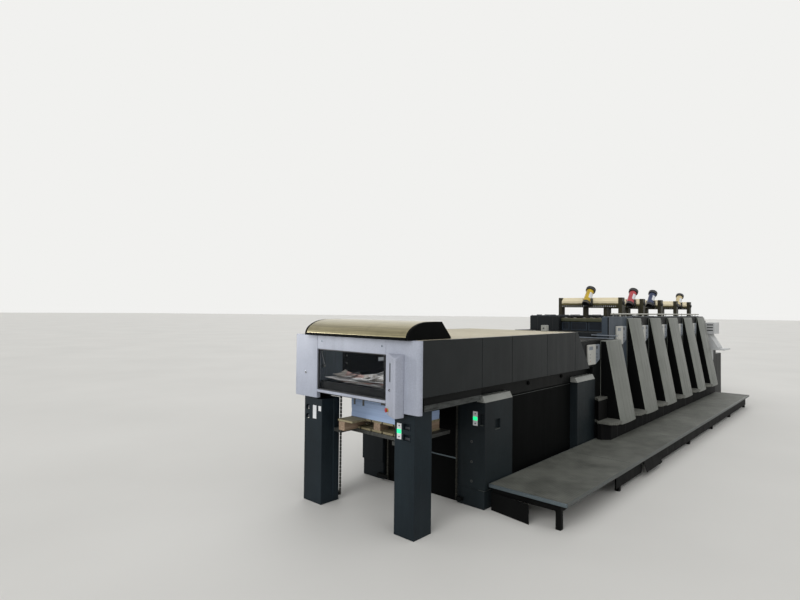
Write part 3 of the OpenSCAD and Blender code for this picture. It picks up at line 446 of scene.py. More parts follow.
def selectFaces(piece, test):
    activate(piece)
    bpy.ops.object.mode_set(mode="EDIT")
    bpy.ops.mesh.select_mode(type="FACE")
    bpy.ops.mesh.select_all(action="DESELECT")
    mesh = bmesh.from_edit_mesh(piece.data)
    for face in mesh.faces:
        face.select_set(test(face.calc_center_median(), face.normal))
    bmesh.update_edit_mesh(piece.data)


def leaveEdit():
    bpy.ops.object.mode_set(mode="OBJECT")


def sunkPanel(piece, test, border, depth, slotIndex=0):
    # a border, then the field inside it pushed in and given its own finish
    selectFaces(piece, test)
    bpy.ops.mesh.inset(thickness=border, depth=0)
    bpy.ops.mesh.inset(thickness=abs(depth) * 0.3, depth=depth)
    if slotIndex:
        piece.active_material_index = slotIndex
        bpy.ops.object.material_slot_assign()
    leaveEdit()
    return piece


def repeated(piece, count, step):
    row = piece.modifiers.new("row", "ARRAY")
    row.count = count
    row.use_relative_offset = False
    row.use_constant_offset = True
    row.constant_offset_displace = step
    return applyModifiers(piece)


def bothSides(piece):
    mirror = piece.modifiers.new("sides", "MIRROR")
    mirror.use_axis = (False, True, False)
    mirror.use_mirror_merge = False
    return applyModifiers(piece)


def copied(piece, shift=(0, 0, 0)):
    twin = piece.copy()
    twin.data = piece.data.copy()
    bpy.context.scene.collection.objects.link(twin)
    twin.data.transform(Matrix.Translation(shift))
    return twin


def turned(piece, degrees, axis, pivot):
    pivot = Vector(pivot)
    turn = Matrix.Rotation(math.radians(degrees), 4, axis)
    piece.data.transform(Matrix.Translation(pivot) @ turn @ Matrix.Translation(-pivot))
    return piece


def scattered(piece, shifts):
    twins = [copied(piece, shift) for shift in shifts]
    bpy.data.objects.remove(piece)
    return twins


def mergedCopy(node):
    piece = bpy.data.objects.new(node + "Copy", nodes[node].data.copy())
    bpy.context.scene.collection.objects.link(piece)
    piece.data.materials.clear()
    activate(piece)
    bpy.ops.mesh.customdata_custom_splitnormals_clear()
    bpy.ops.object.mode_set(mode="EDIT")
    bpy.ops.mesh.select_all(action="SELECT")
    bpy.ops.mesh.remove_doubles(threshold=1e-5)
    bpy.ops.mesh.dissolve_limited(angle_limit=math.radians(1))
    leaveEdit()
    return piece


def cutAway(piece, point, normal):
    # keeps what lies behind the plane
    activate(piece)
    bpy.ops.object.mode_set(mode="EDIT")
    bpy.ops.mesh.select_all(action="SELECT")
    bpy.ops.mesh.bisect(plane_co=point, plane_no=normal, use_fill=True, clear_outer=True)
    leaveEdit()
    return piece


def settle(name, pieces, body="press", stands=(), smooth=32):
    activate(pieces[0])
    for piece in pieces:
        piece.select_set(True)
    if len(pieces) > 1:
        bpy.ops.object.join()
    piece = pieces[0]
    piece.name = name
    bpy.ops.object.shade_smooth_by_angle(angle=math.radians(smooth))
    even = piece.modifiers.new("even", "WEIGHTED_NORMAL")
    even.keep_sharp = True
    applyModifiers(piece)
    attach(piece, body)
    if stands:
        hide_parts(*stands)
    return piece


def finishNode(node, material, width=0.003, steps=2):
    # a CAD node whose shape is right keeps its mesh; its edges are eased by live modifiers
    piece = nodes[node]
    for slot in piece.material_slots:
        slot.material = material
    if width:
        weld = piece.modifiers.new("weld", "WELD")
        weld.merge_threshold = 1e-5
        flat = piece.modifiers.new("flat", "DECIMATE")
        flat.decimate_type = "DISSOLVE"
        flat.angle_limit = math.radians(1)
        ease = piece.modifiers.new("ease", "BEVEL")
        ease.width = width
        ease.segments = steps
        ease.limit_method = "ANGLE"
        ease.angle_limit = math.radians(35)
    return piece


# A hexagon socket screw head, which looks along +Z at the origin
def screwHead(radius, height):
    piece = newDrum((0, 0, 0), (0, 0, height), radius, height * 0.25, 12, boltMetal)
    selectFaces(piece, lambda centre, normal: normal.z > 0.99)
    bpy.ops.mesh.inset(thickness=radius * 0.30, depth=0)
    bpy.ops.mesh.inset(thickness=radius * 0.05, depth=-height * 0.5)
    leaveEdit()
    return piece


def screwsAt(places, direction, radius=0.007, height=0.004):
    head = screwHead(radius, height)
    head.data.transform(Vector(direction).to_track_quat("Z", "Y").to_matrix().to_4x4())
    return scattered(head, places)


# Front legs with their blank labels, lamps and the rims of their recesses
legLook = {
    "label": (0.150, 0.202, 0.835, 0.972),
    "driveLabels": ((1.310, 1.365, 0.845, 0.980), (1.236, 1.277, 0.930, 0.980)),
    "labelThickness": 0.0015,
    "lampHeight": 0.903,
    "lampHalf": 0.018,
    "lensHeights": (0.952, 0.856),
    "recessY": 0.090,
    "recessDriveY": 1.446,
    "recessZ": (0.858, 0.951),
    "recessHalf": (0.038, 0.027),
    "ringRadius": 0.031,
}


def makeLegs(look):
    for node in ("front_leg_operator", "front_leg_drive"):
        finishNode(node, legEnamel, 0.004)
    parts = []
    thin = look["labelThickness"]
    for y0, y1, z0, z1 in (look["label"],) + look["driveLabels"]:
        parts.append(newBlock(spot(-thin, y0, z0), spot(0, y1, z1), 0.0006, material=whitePlastic))
    midY = sum(look["label"][:2]) / 2
    lampZ, half = look["lampHeight"], look["lampHalf"]
    parts.append(newBlock(spot(-0.005, look["label"][0] + 0.002, lampZ - half), spot(0, look["label"][1] - 0.002,
        lampZ + half), 0.0022, 3, greenLamp))
    for z in look["lensHeights"]:
        parts.append(newDrum(spot(-thin * 2, midY, z), spot(0, midY, z), 0.007, 0.0006, 16, keyPlastic))
    halfY, halfZ = look["recessHalf"]
    for z in look["recessZ"]:
        y = look["recessY"]
        rim = newBlock(spot(-0.003, y - halfY - 0.005, z - halfZ - 0.005),
            spot(0.004, y + halfY + 0.005, z + halfZ + 0.005), 0, material=legEnamel)
        selectFaces(rim, lambda centre, normal: abs(normal.x) > 0.9)
        bpy.ops.mesh.inset(thickness=0.005, depth=0)
        bpy.ops.mesh.bridge_edge_loops()
        leaveEdit()
        parts.append(rim)
        parts.append(newBlock(spot(0.022, y - halfY + 0.001, z - halfZ + 0.001),
            spot(0.0295, y + halfY - 0.001, z - 0.004), 0.002, material=keyPlastic))
        ring = newRing(spot(0.0005, look["recessDriveY"], z), (1, 0, 0), look["ringRadius"], 0.003, legEnamel)
        parts.append(ring)
        parts.append(newDrum(spot(0.012, look["recessDriveY"], z - 0.006),
            spot(0.0295, look["recessDriveY"], z - 0.006), 0.019, 0.003, 24, keyPlastic))
        parts.append(newBlock(spot(0.004, look["recessDriveY"] - 0.026, z - 0.024), spot(0.026,
            look["recessDriveY"] + 0.006, z - 0.016), 0.003, material=railMetal))
    settle("leg_fittings", parts)


makeLegs(legLook)
print("legs done")


# Pillars: caps, plinth line, label with its lamp, bolt holes, and the light edges of the recesses
pillarLook = {
    "label": (0.036, 0.092, 0.815, 0.955),
    "lampHeight": 0.885,
    "boltHeights": (0.65, 0.45, 0.258),
    "boltY": 0.105,
    "recess": (1.187, 1.281, 0.768, 0.862),
    "slot": (-0.036, 0.008, 0.827, 0.937),
    "plinthTop": 0.19,
}


def makePillars(look):
    for node in ("pillars_operator", "pillars_drive"):
        finishNode(node, pillarEnamel, 0.006, 3)
    finishNode("pillar_caps", capEnamel, 0.004, 3)
    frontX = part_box("pillars_operator")[0].x - legX
    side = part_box("pillars_operator")[0].y - outerY
    y0, y1, z0, z1 = look["label"]
    midY = (y0 + y1) / 2
    parts = [newBlock(spot(frontX - 0.0015, y0, z0), spot(frontX, y1, z1), 0.0006, material=whitePlastic)]
    parts.append(newBlock(spot(frontX - 0.005, y0 + 0.003, look["lampHeight"] - 0.018),
        spot(frontX, y1 - 0.003, look["lampHeight"] + 0.018), 0.0022, 3, greenLamp))
    for z in (z0 + 0.022, z1 - 0.022):
        parts.append(newDrum(spot(frontX - 0.003, midY, z), spot(frontX, midY, z), 0.007, 0.0006, 16,
            keyPlastic))
    for z in look["boltHeights"]:
        parts.append(newRing(spot(frontX - 0.0005, look["boltY"], z), (1, 0, 0), 0.012, 0.002, wornEdge))
        parts.append(newDrum(spot(frontX - 0.001, look["boltY"], z), spot(frontX, look["boltY"], z), 0.011,
            0.0004, 20, blackPlastic))
    x0, x1, rz0, rz1 = look["recess"]
    parts.append(newBlock(spot(x0, side - 0.002, rz0 - 0.006), spot(x1, side + 0.028, rz0 + 0.002), 0.001,
        material=wornEdge))
    sy0, sy1, sz0, sz1 = look["slot"]
    parts.append(newBlock(spot(frontX - 0.002, sy0 + 0.006, sz0 - 0.005), spot(frontX + 0.028, sy1, sz0 + 0.002),
        0.001, material=wornEdge))
    settle("pillar_fittings", parts)
    z = look["plinthTop"]
    lines = [newBlock(spot(frontX - 0.0015, side - 0.0015, z - 0.004), spot(frontX + 0.11, side + 0.003, z), 0.001,
        material=wornEdge), newBlock(spot(frontX - 0.0015, side - 0.0015, z - 0.004), spot(frontX + 0.003,
        side + 0.075, z), 0.001, material=wornEdge)]
    settle("plinth_edge", lines)


makePillars(pillarLook)
print("pillars done")


# Base, side frames and the dark panels between the pillars
baseLook = {
    "knobs": ((2.03, 1.141), (2.868, 1.149)),
    "knobRadius": 0.022,
    "lineHeight": 1.034,
    "bar": (0.28, 1.18, 0.430, 0.444),
}


def makeBase(look):
    finishNode("under_panels", underEnamel, 0.003)
    finishNode("delivery_base", underEnamel, 0.004)
    finishNode("delivery_side_frames", frameEnamel, 0.003)
    finishNode("delivery_housing", frameEnamel, 0.004)
    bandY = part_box("under_panels")[0].y - outerY
    start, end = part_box("under_panels")[0].x - legX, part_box("under_panels")[1].x - legX
    strip = newBlock(spot(start + 0.01, bandY - 0.003, look["lineHeight"] - 0.004),
        spot(end - 0.01, bandY + 0.004, look["lineHeight"]), 0.001, material=wornEdge)
    parts = [strip]
    for x, z in look["knobs"]:
        knob = newDrum(spot(x, bandY, z), spot(x, bandY - 0.014, z), look["knobRadius"], 0.004, 24,
            underEnamel)
        selectFaces(knob, lambda centre, normal: normal.y < -0.99)
        bpy.ops.mesh.inset(thickness=look["knobRadius"] * 0.5, depth=0)
        bpy.ops.mesh.inset(thickness=0.002, depth=-0.005)
        leaveEdit()
        parts.append(knob)
    settle("band_fittings", [bothSides(part) for part in parts])
    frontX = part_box("delivery_base")[0].x - legX
    y0, y1, z0, z1 = look["bar"]
    bar = newBlock(spot(frontX - 0.010, y0, z0), spot(frontX + 0.002, y1, z1), 0.003, material=trimMetal)
    settle("base_bar", [bar])


makeBase(baseLook)
print("base done")


# Side panels: sheet steel lids with narrow joints between them
panelLook = {
    "joints": (0.90, 1.46, 2.24, 2.99),
    "gap": 0.004,
    "ease": 0.004,
}


def makeSidePanels(look):
    for node, slotSide in (("side_panel_operator", "operator"), ("side_panel_drive", "drive")):
        low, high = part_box(node)
        ends = [low.x - 1] + [legX + x for x in look["joints"]] + [high.x + 1]
        parts = []
        for start, end in zip(ends, ends[1:]):
            lid = mergedCopy(node)
            cutAway(lid, (end - look["gap"] / 2, 0, 0), (1, 0, 0))
            cutAway(lid, (start + look["gap"] / 2, 0, 0), (-1, 0, 0))
            easeEdges(lid, look["ease"])
            lid.data.materials.append(panelEnamel)
            parts.append(lid)
        settle("side_panels_" + slotSide, parts, stands=[node])


makeSidePanels(panelLook)
print("side panels done")


# Deck, hood and its trim
deckLook = {"switchBox": (2.985, 3.055, 0.312, 0.388, 0.080)}


def makeTop(look):
    finishNode("delivery_deck", deckCoat, 0.002)
    finishNode("hood", hoodMetal, 0.002)
    finishNode("hood_trim", underEnamel, 0.003)
    low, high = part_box("hood")
    lip = newBlock((low.x - 0.006, low.y, low.z - 0.013), (low.x + 0.012, high.y, low.z + 0.011), 0.004, 3, underEnamel)
    settle("hood_lip", [lip])
    x0, x1, y0, y1, tall = look["switchBox"]
    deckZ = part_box("delivery_deck")[1].z
    box = newBlock(spot(x0, y0, deckZ - 0.001), spot(x1, y1, deckZ + tall), 0.006, 3, capEnamel)
    key = newDrum(spot(x0 - 0.004, (y0 + y1) / 2, deckZ + tall * 0.5), spot(x0 + 0.001, (y0 + y1) / 2,
        deckZ + tall * 0.5), 0.011, 0.001, 20, keyPlastic)
    settle("deck_switch", [box, key])


makeTop(deckLook)
print("top done")


# Front covers, strip, sill and window
frontLook = {
    "ease": 0.005,
    "lock": (1.427, 1.311),
    "fasteners": ((1.179, 1.639), (0.35, 1.633)),
    "gasket": 0.010,
    "tabs": ((0.718, 1.14), (0.60, 1.14)),
    "tabSize": (0.022, 0.060),
    "bracket": (0.30, 0.37, 1.095, 1.135),
}


def makeFront(look):
    for node in ("front_cover_operator", "front_cover_drive", "front_top_strip", "window_sill"):
        finishNode(node, frontEnamel, look["ease"], 3)
    finishNode("delivery_window", windowAcrylic, 0)
    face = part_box("front_top_strip")[0].x - legX
    glassLow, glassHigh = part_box("delivery_window")
    parts = []
    y, z = look["lock"]
    parts.append(newDrum(spot(face - 0.004, y, z), spot(face, y, z), 0.014, 0.0015, 24, chromeMetal))
    parts.append(newDrum(spot(face - 0.006, y, z), spot(face, y, z), 0.006, 0.001, 16, keyPlastic))
    for y, z in look["fasteners"]:
        parts.append(newDrum(spot(face - 0.003, y, z), spot(face, y, z), 0.009, 0.0015, 20, trimMetal))
        parts.append(newDrum(spot(face - 0.004, y, z), spot(face, y, z), 0.004, 0.0008, 12, keyPlastic))
    border = look["gasket"]
    x = glassLow.x
    frameRing = newBlock((x - 0.006, glassLow.y, glassLow.z), (x + 0.012, glassHigh.y, glassHigh.z), 0,
        material=blackPlastic)
    selectFaces(frameRing, lambda centre, normal: abs(normal.x) > 0.9)
    bpy.ops.mesh.inset(thickness=border, depth=0)
    bpy.ops.mesh.bridge_edge_loops()
    leaveEdit()
    parts.append(easeEdges(frameRing, 0.002))
    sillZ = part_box("window_sill")[0].z
    for y, z in look["tabs"]:
        wide, tall = look["tabSize"]
        parts.append(newBlock(spot(-0.030, y - wide / 2, sillZ - tall), spot(-0.022, y + wide / 2, sillZ + 0.002),
            0.003, material=blackPlastic))
    y0, y1, z0, z1 = look["bracket"]
    parts.append(newBlock(spot(-0.034, y0, z0 + 0.012), spot(-0.014, y1, sillZ + 0.002), 0.004,
        material=blackPlastic))
    # the rubber lip that closes the sill's lower edge
    parts.append(newDrum((glassLow.x - 0.012, glassLow.y, sillZ), (glassLow.x - 0.012, glassHigh.y, sillZ), 0.005,
        0.001, 16, blackPlastic))
    settle("front_fittings", parts)


makeFront(frontLook)


# What shows through the window: stop plate, post, liner on the far frame, slats and the gripper bars
insideLook = {
    "stopTop": 1.240,
    "post": (0.312, 0.358),
    "liner": (0.012, 0.385, 1.222, 1.620),
    "farPost": (0.392, 0.450),
    "slats": (0.460, 1.030, 1.265, 1.640, 0.026),
    "bars": ((0.135, 1.585), (0.560, 1.540), (0.900, 1.575)),
    "barRadius": 0.011,
    "grippers": 14,
    "lamp": (0.905, 0.995, 1.372, 1.412),
}


def makeInside(look):
    glassLow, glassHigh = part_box("delivery_window")
    wallY = 1.3588
    parts = []
    stop = newBlock((legX - 0.002, glassLow.y + 0.004, glassLow.z - 0.03), (legX + 0.006, glassHigh.y - 0.004,
        look["stopTop"]), 0.002, material=stoveBlack)
    parts.append(stop)
    y0, y1 = look["post"]
    parts.append(newBlock(spot(-0.018, y0, glassLow.z), spot(-0.004, y1, glassHigh.z), 0.003, material=stoveBlack))
    x0, x1, z0, z1 = look["liner"]
    liner = newBlock(spot(x0, wallY - 0.004, z0), spot(x1, wallY + 0.002, z1), 0.0015, material=linerCoat)
    for share in (0.36, 0.72):
        seam = x0 + (x1 - x0) * share
        parts.append(newBlock(spot(seam - 0.0015, wallY - 0.0046, z0), spot(seam + 0.0015, wallY, z1), 0,
            material=blackPlastic))
    parts.append(liner)
    postX0, postX1 = look["farPost"]
    parts.append(newBlock(spot(postX0, wallY - 0.030, 1.070), spot(postX1, wallY + 0.002, 1.66), 0.003,
        material=stoveBlack))
    for z in (1.30, 1.38, 1.46, 1.54):
        parts.append(newDrum(spot((postX0 + postX1) / 2, wallY - 0.036, z), spot((postX0 + postX1) / 2, wallY, z),
            0.009, 0.002, 12, boltMetal))
    x0, x1, z0, z1, step = look["slats"]
    slat = newBlock(spot(x0, wallY - 0.012, z0), spot(x1, wallY + 0.002, z0 + step * 0.55), 0.002,
        material=stoveBlack)
    parts.append(repeated(slat, int((z1 - z0) / step), (0, 0, step)))
    for x, z in look["bars"]:
        parts.append(newDrum(spot(x, 0.141, z), spot(x, wallY, z), look["barRadius"], 0.001, 20, chromeMetal))
        finger = newBlock(spot(x - 0.018, 0.20, z - 0.028), spot(x + 0.012, 0.218, z + 0.008), 0.003,
            material=chainMetal)
        parts.append(repeated(finger, look["grippers"], (0, 0.080, 0)))
    x0, x1, z0, z1 = look["lamp"]
    parts.append(newBlock(spot(x0 - 0.012, wallY - 0.030, z0 - 0.01), spot(x1 + 0.012, wallY, z1 + 0.01), 0.004,
        material=blackPlastic))
    parts.append(newBlock(spot(x0, wallY - 0.032, z0), spot(x1, wallY - 0.028, z1), 0.0015, material=whiteLamp))
    # a lever and its cable by the front of the liner
    parts.append(newDrum(spot(0.060, wallY - 0.030, 1.600), spot(0.115, wallY - 0.030, 1.370), 0.006, 0.001, 16,
        chromeMetal))
    parts.append(newDrum(spot(0.115, wallY - 0.034, 1.370), spot(0.115, wallY, 1.370), 0.014, 0.003, 20, boltMetal))
    parts.append(newDrum(spot(0.060, wallY - 0.034, 1.600), spot(0.060, wallY, 1.600), 0.014, 0.003, 20, boltMetal))
    settle("delivery_inside", parts)


makeInside(insideLook)
print("front done")


# Operator's console: a screen slot, a key switch and the stop button on the face turned to the window
consoleLook = {
    "slot": (0.068, 0.098, 1.334, 1.492),
    "plate": (0.030, 0.160, 1.060, 1.540),
    "switch": (0.083, 1.262),
    "stop": (0.030, 1.082),
}


def makeConsole(look):
    finishNode("control_console", consoleEnamel, 0.006, 3)
    low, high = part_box("control_console")
    foot = Vector((high.x, high.y, 0))
    nose = Vector((low.x, low.y + 0.038, 0))
    run = (nose - foot).normalized()
    start, end, z0, z1 = look["slot"]
    parts = [newBlock((start, -0.002, z0), (end, 0.002, z1), 0.001, material=keyPlastic),
        newBlock((start - 0.003, -0.002, z0 - 0.003), (end + 0.003, 0.0014, z1 + 0.003), 0.0006, material=trimMetal)]
    start, end, z0, z1 = look["plate"]
    parts.append(newBlock((start, -0.002, z0), (end, 0.0008, z1), 0.0004, material=consoleEnamel))
    for z in (z0 + 0.008, z1 - 0.008):
        parts.append(newDrum((end - 0.010, 0, z), (end - 0.010, 0.002, z), 0.003, 0.0006, 10, boltMetal))
    x, z = look["switch"]
    parts.append(newDrum((x, 0, z), (x, 0.003, z), 0.013, 0.001, 24, chromeMetal))
    parts.append(newDrum((x, 0.003, z), (x, 0.012, z), 0.008, 0.002, 20, keyPlastic))
    x, z = look["stop"]
    parts.append(newDrum((x, 0, z), (x, 0.012, z), 0.015, 0.001, 24, yellowPlastic))
    parts.append(newDrum((x, 0.012, z), (x, 0.026, z), 0.020, 0.005, 24, redPlastic))
    for part in parts:
        part.data.transform(Matrix.Translation(foot) @ Matrix.Rotation(math.atan2(run.y, run.x), 4, "Z")
            @ Matrix.Scale(-1, 4, (0, 1, 0)))
        part.data.flip_normals()
    settle("console_fittings", parts)


makeConsole(consoleLook)
print("console done")


# Guards under the side panels: a dark band, and below it a rubbed corrugated strip with a lower edge in lighter metal
# as a painted highlight
guardLook = {"stripHigh": 0.052, "edge": 0.005, "rib": 0.006, "pitch": 0.0145, "proud": 0.004}


def makeSideGuards(look):
    finishNode("side_guards", frameEnamel, 0.003)
    low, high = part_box("side_guards")
    count = int((high.x - low.x - 0.01) / look["pitch"])
    top = low.z + look["stripHigh"]
    rib = newBlock((low.x + 0.006, low.y - look["proud"], low.z + look["edge"]),
        (low.x + 0.006 + look["rib"], low.y + 0.002, top), 0.002, material=guardMetal)
    repeated(rib, count, (look["pitch"], 0, 0))
    backing = newBlock((low.x + 0.003, low.y - 0.0012, low.z + 0.001), (high.x - 0.003, low.y + 0.002, top), 0.0006,
        material=guardMetal)
    # the lower edge strip is lighter than the ribs above it: painted highlight
    edge = newBlock((low.x + 0.003, low.y - 0.006, low.z), (high.x - 0.003, low.y + 0.003, low.z + look["edge"]),
        0.0015, material=wornEdge)
    cap = newBlock((low.x + 0.003, low.y - 0.005, top), (high.x - 0.003, low.y + 0.003, top + 0.006), 0.002,
        material=frameEnamel)
    settle("guard_ribs", [bothSides(part) for part in (rib, backing, edge, cap)])


makeSideGuards(guardLook)
print("side guards done")


# Pile: platform with its shoes, pallet of sawn boards, stack of sheets with a disturbed top
pileLook = {
    "boards": 5,
    "boardGap": 0.018,
    "layers": 9,
    "shiftMost": 0.006,
    "pileSheets": ((0.47, 0.68, 2.5, 3), (0.34, 0.47, 22, 6)),
    "plateSheets": ((0.262, 0.42, 3, 9), (0.15, 0.24, 35, 8)),
    "plate": (-5.648, -5.362, -0.43, 0.47, 1.240),
    "looseLift": 0.012,
    "layerGap": 0.0035,
    "curl": 0.03,
    "strips": 4,
    "stripLong": 0.25,
}


# A sheet is pushed back over what carries it, so that it clears the frame as the pile sinks
def keptOver(sheet, low, high):
    for axis in (0, 1):
        start = min(vertex.co[axis] for vertex in sheet.data.vertices)
        end = max(vertex.co[axis] for vertex in sheet.data.vertices)
        push = max(0, low[axis] - start) - max(0, end - high[axis])
        for vertex in sheet.data.vertices:
            vertex.co[axis] += push
    return sheet


# Sheets dropped over each other: wide, long, most turn and how many of each, then narrow strips on top
def looseHeap(look, rng, low, high, baseZ, kinds):
    sheets = []
    papers = (sheetPaper, greyPaper, sheetPaper, sheetPaper, tintPaper)
    for wide, long, most, count in kinds:
        for index in range(count):
            x = rng.uniform(low.x + wide / 2, high.x - wide / 2)
            y = low.y + long / 2 + (high.y - low.y - long) * index / (count - 1)
            z = baseZ + 0.002 + look["layerGap"] * len(sheets)
            deselect()
            bpy.ops.mesh.primitive_grid_add(x_subdivisions=12, y_subdivisions=16, size=1, location=(x, y, z))
            sheet = bpy.context.object
            sheet.scale = (wide, long, 1)
            bpy.ops.object.transform_apply(location=True, rotation=True, scale=True)
            phase, corner = rng.uniform(0, 6), rng.choice((-1, 1))
            for vertex in sheet.data.vertices:
                wave = math.sin(vertex.co.y * 9 + phase) * math.cos(vertex.co.x * 7 + phase * 0.7)
                far = max(0, (vertex.co.x - x) / wide + corner * (vertex.co.y - y) / long - 0.25)
                vertex.co.z += look["looseLift"] * 0.5 * (1 + wave) + look["curl"] * far ** 2 * 2.2
            turned(sheet, rng.uniform(-most, most), "Z", (x, y, z))
            wall = sheet.modifiers.new("wall", "SOLIDIFY")
            wall.thickness = 0.0006
            applyModifiers(sheet)
            sheet.data.materials.append(papers[len(sheets) % 5])
            sheets.append(keptOver(sheet, low, high))
    top = baseZ + 0.010 + look["looseLift"] + look["layerGap"] * len(sheets)
    reach = look["stripLong"] / 2
    for index in range(look["strips"]):
        x, y = (low.x + high.x) / 2, rng.uniform(low.y + reach, high.y - reach)
        z = top + 0.003 * index
        strip = newBlock((x - 0.014, y - reach, z), (x + 0.014, y + reach, z + 0.0012), 0.0004,
            material=greyPaper if index % 2 else keyPlastic)
        sheets.append(keptOver(turned(strip, rng.uniform(-75, 75), "Z", (x, y, z)), low, high))
    return sheets


def makePile(look):
    finishNode("pile_platform", platformMetal, 0.004)
    low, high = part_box("pile_pallet")
    stackLow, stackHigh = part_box("paper_stack")
    parts = []
    boardT = 0.020
    boardW = (high.y - low.y + look["boardGap"]) / look["boards"] - look["boardGap"]
    for z in (low.z, high.z - boardT):
        board = newBlock((low.x, low.y, z), (high.x, low.y + boardW, z + boardT), 0.002,
            material=palletWood)
        parts.append(repeated(board, look["boards"], (0, boardW + look["boardGap"], 0)))
    runnerW = 0.09
    for y in (low.y, (low.y + high.y - runnerW) / 2, high.y - runnerW):
        for x in (low.x + 0.004, (low.x + high.x) / 2 - 0.06, high.x - 0.124):
            parts.append(newBlock((x, y, low.z + boardT - 0.001), (x + 0.12, y + runnerW, high.z - boardT + 0.001),
                0.003, material=runnerWood))
    parts.append(newBlock(spot(0.110, 0.894, high.z - boardT), spot(0.31, 1.105, high.z), 0.002,
        material=palletWood))
    parts.append(newBlock(spot(0.118, 1.015, low.z), spot(0.31, 1.100, high.z - boardT), 0.003,
        material=runnerWood))
    nails = [(low.x + dx, low.y + (boardW + look["boardGap"]) * index + boardW * share, high.z)
        for index in range(look["boards"]) for dx in (0.05, 0.27, 0.48) for share in (0.25, 0.75)
        if (low.x + dx) < stackLow.x]
    settle("pallet_boards", parts + (screwsAt(nails, (0, 0, 1), 0.004, 0.001) if nails else []),
        "pile", ["pile_pallet"])
    rng = random.Random(11)
    layers = []
    step = (stackHigh.z - stackLow.z) / look["layers"]
    for index in range(look["layers"]):
        dx, dy = (rng.uniform(0, look["shiftMost"]) for _ in range(2))
        layers.append(newBlock((stackLow.x + dx, stackLow.y + dy, stackLow.z + index * step),
            (stackHigh.x - look["shiftMost"] + dx, stackHigh.y - look["shiftMost"] + dy,
            stackLow.z + (index + 1) * step), 0.0012, material=stackPaper))
    settle("sheet_stack", layers, "pile", ["paper_stack"])
    settle("loose_sheets", looseHeap(look, rng, stackLow, stackHigh, stackHigh.z, look["pileSheets"]),
        "pile")
    # waste sheets on the plate between the window and the pile
    x0, x1, y0, y1, z = look["plate"]
    low, high = Vector((x0, y0, z - 0.006)), Vector((x1, y1, z))
    plate = newBlock(low, high, 0.002, material=stoveBlack)
    settle("waste_plate", [plate] + looseHeap(look, rng, low + Vector((0.006, 0.01, 0)),
        high - Vector((0.004, 0.01, 0)), z, look["plateSheets"]))


makePile(pileLook)
print("pile done")


# Hoist chains: links of side plates and rollers in place of the plain rods, and their end blocks
chainLook = {
    "pitch": 0.038,
    "plate": (0.0035, 0.017),
    "roller": 0.0075,
    "x": (0.259, 0.975),
    "y": 0.480,
    "footX": ((0.234, 0.272), (0.962, 1.012)),
    "footOut": {-1: (0.549, 0.540), 1: (0.549, 0.645)},
    "headHalf": 0.018,
    "headOut": 0.610,
    "blockHigh": 0.036,
}


def makeChains(look):
    low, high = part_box("hoist_chains")
    plateT, plateW = look["plate"]
    pitchZ = look["pitch"]
    count = int((high.z - low.z) / pitchZ)
    y = -look["y"]
    parts = []
    for index, x in enumerate(legX + x for x in look["x"]):
        for side in (-1, 1):
            plate = newBlock((x - plateW / 2, y + side * 0.006 - plateT / 2, low.z),
                (x + plateW / 2, y + side * 0.006 + plateT / 2, low.z + pitchZ * 0.9), 0.0016,
                material=chainMetal)
            parts.append(bothSides(repeated(plate, count, (0, 0, pitchZ))))
        roller = newDrum((x, y - 0.0085, low.z + pitchZ * 0.2), (x, y + 0.0085, low.z + pitchZ * 0.2),
            look["roller"], 0, 10, chainMetal)
        parts.append(bothSides(repeated(roller, count * 2 - 1, (0, 0, pitchZ / 2))))
        parts.append(bothSides(newBlock((x - look["headHalf"], y - 0.010 + 0.012, high.z - look["blockHigh"]),
            (x + look["headHalf"], -look["headOut"], high.z), 0.004, material=frameEnamel)))
        x0, x1 = look["footX"][index]
        for side in (-1, 1):
            parts.append(newBlock((legX + x0, side * (look["y"] - 0.002), low.z),
                (legX + x1, side * look["footOut"][side][index], low.z + look["blockHigh"]), 0.004,
                material=frameEnamel))
    settle("hoist_chain_links", parts, stands=["hoist_chains"])


makeChains(chainLook)
print("chains done")


# Coating unit and printing units
unitLook = {
    "inner": (-0.669, 0.249),
    "rollers": ((0.425, 1.740, 0.050), (0.530, 1.715, 0.055), (0.610, 1.775, 0.040)),
    "beam": (0.620, 0.700, 1.797, 1.852),
    "panels": ((0.104, 0.282), (0.300, 0.545), (0.563, 0.840), (0.858, 0.992)),
    "panelZ": (1.655, 1.796),
    "tubes": ((4.196, -0.112, 0.400, 1.579), (4.205, -0.165, 0.215, 1.620)),
    "frontSeams": (1.104, 1.379),
    "lidEase": 0.003,
}


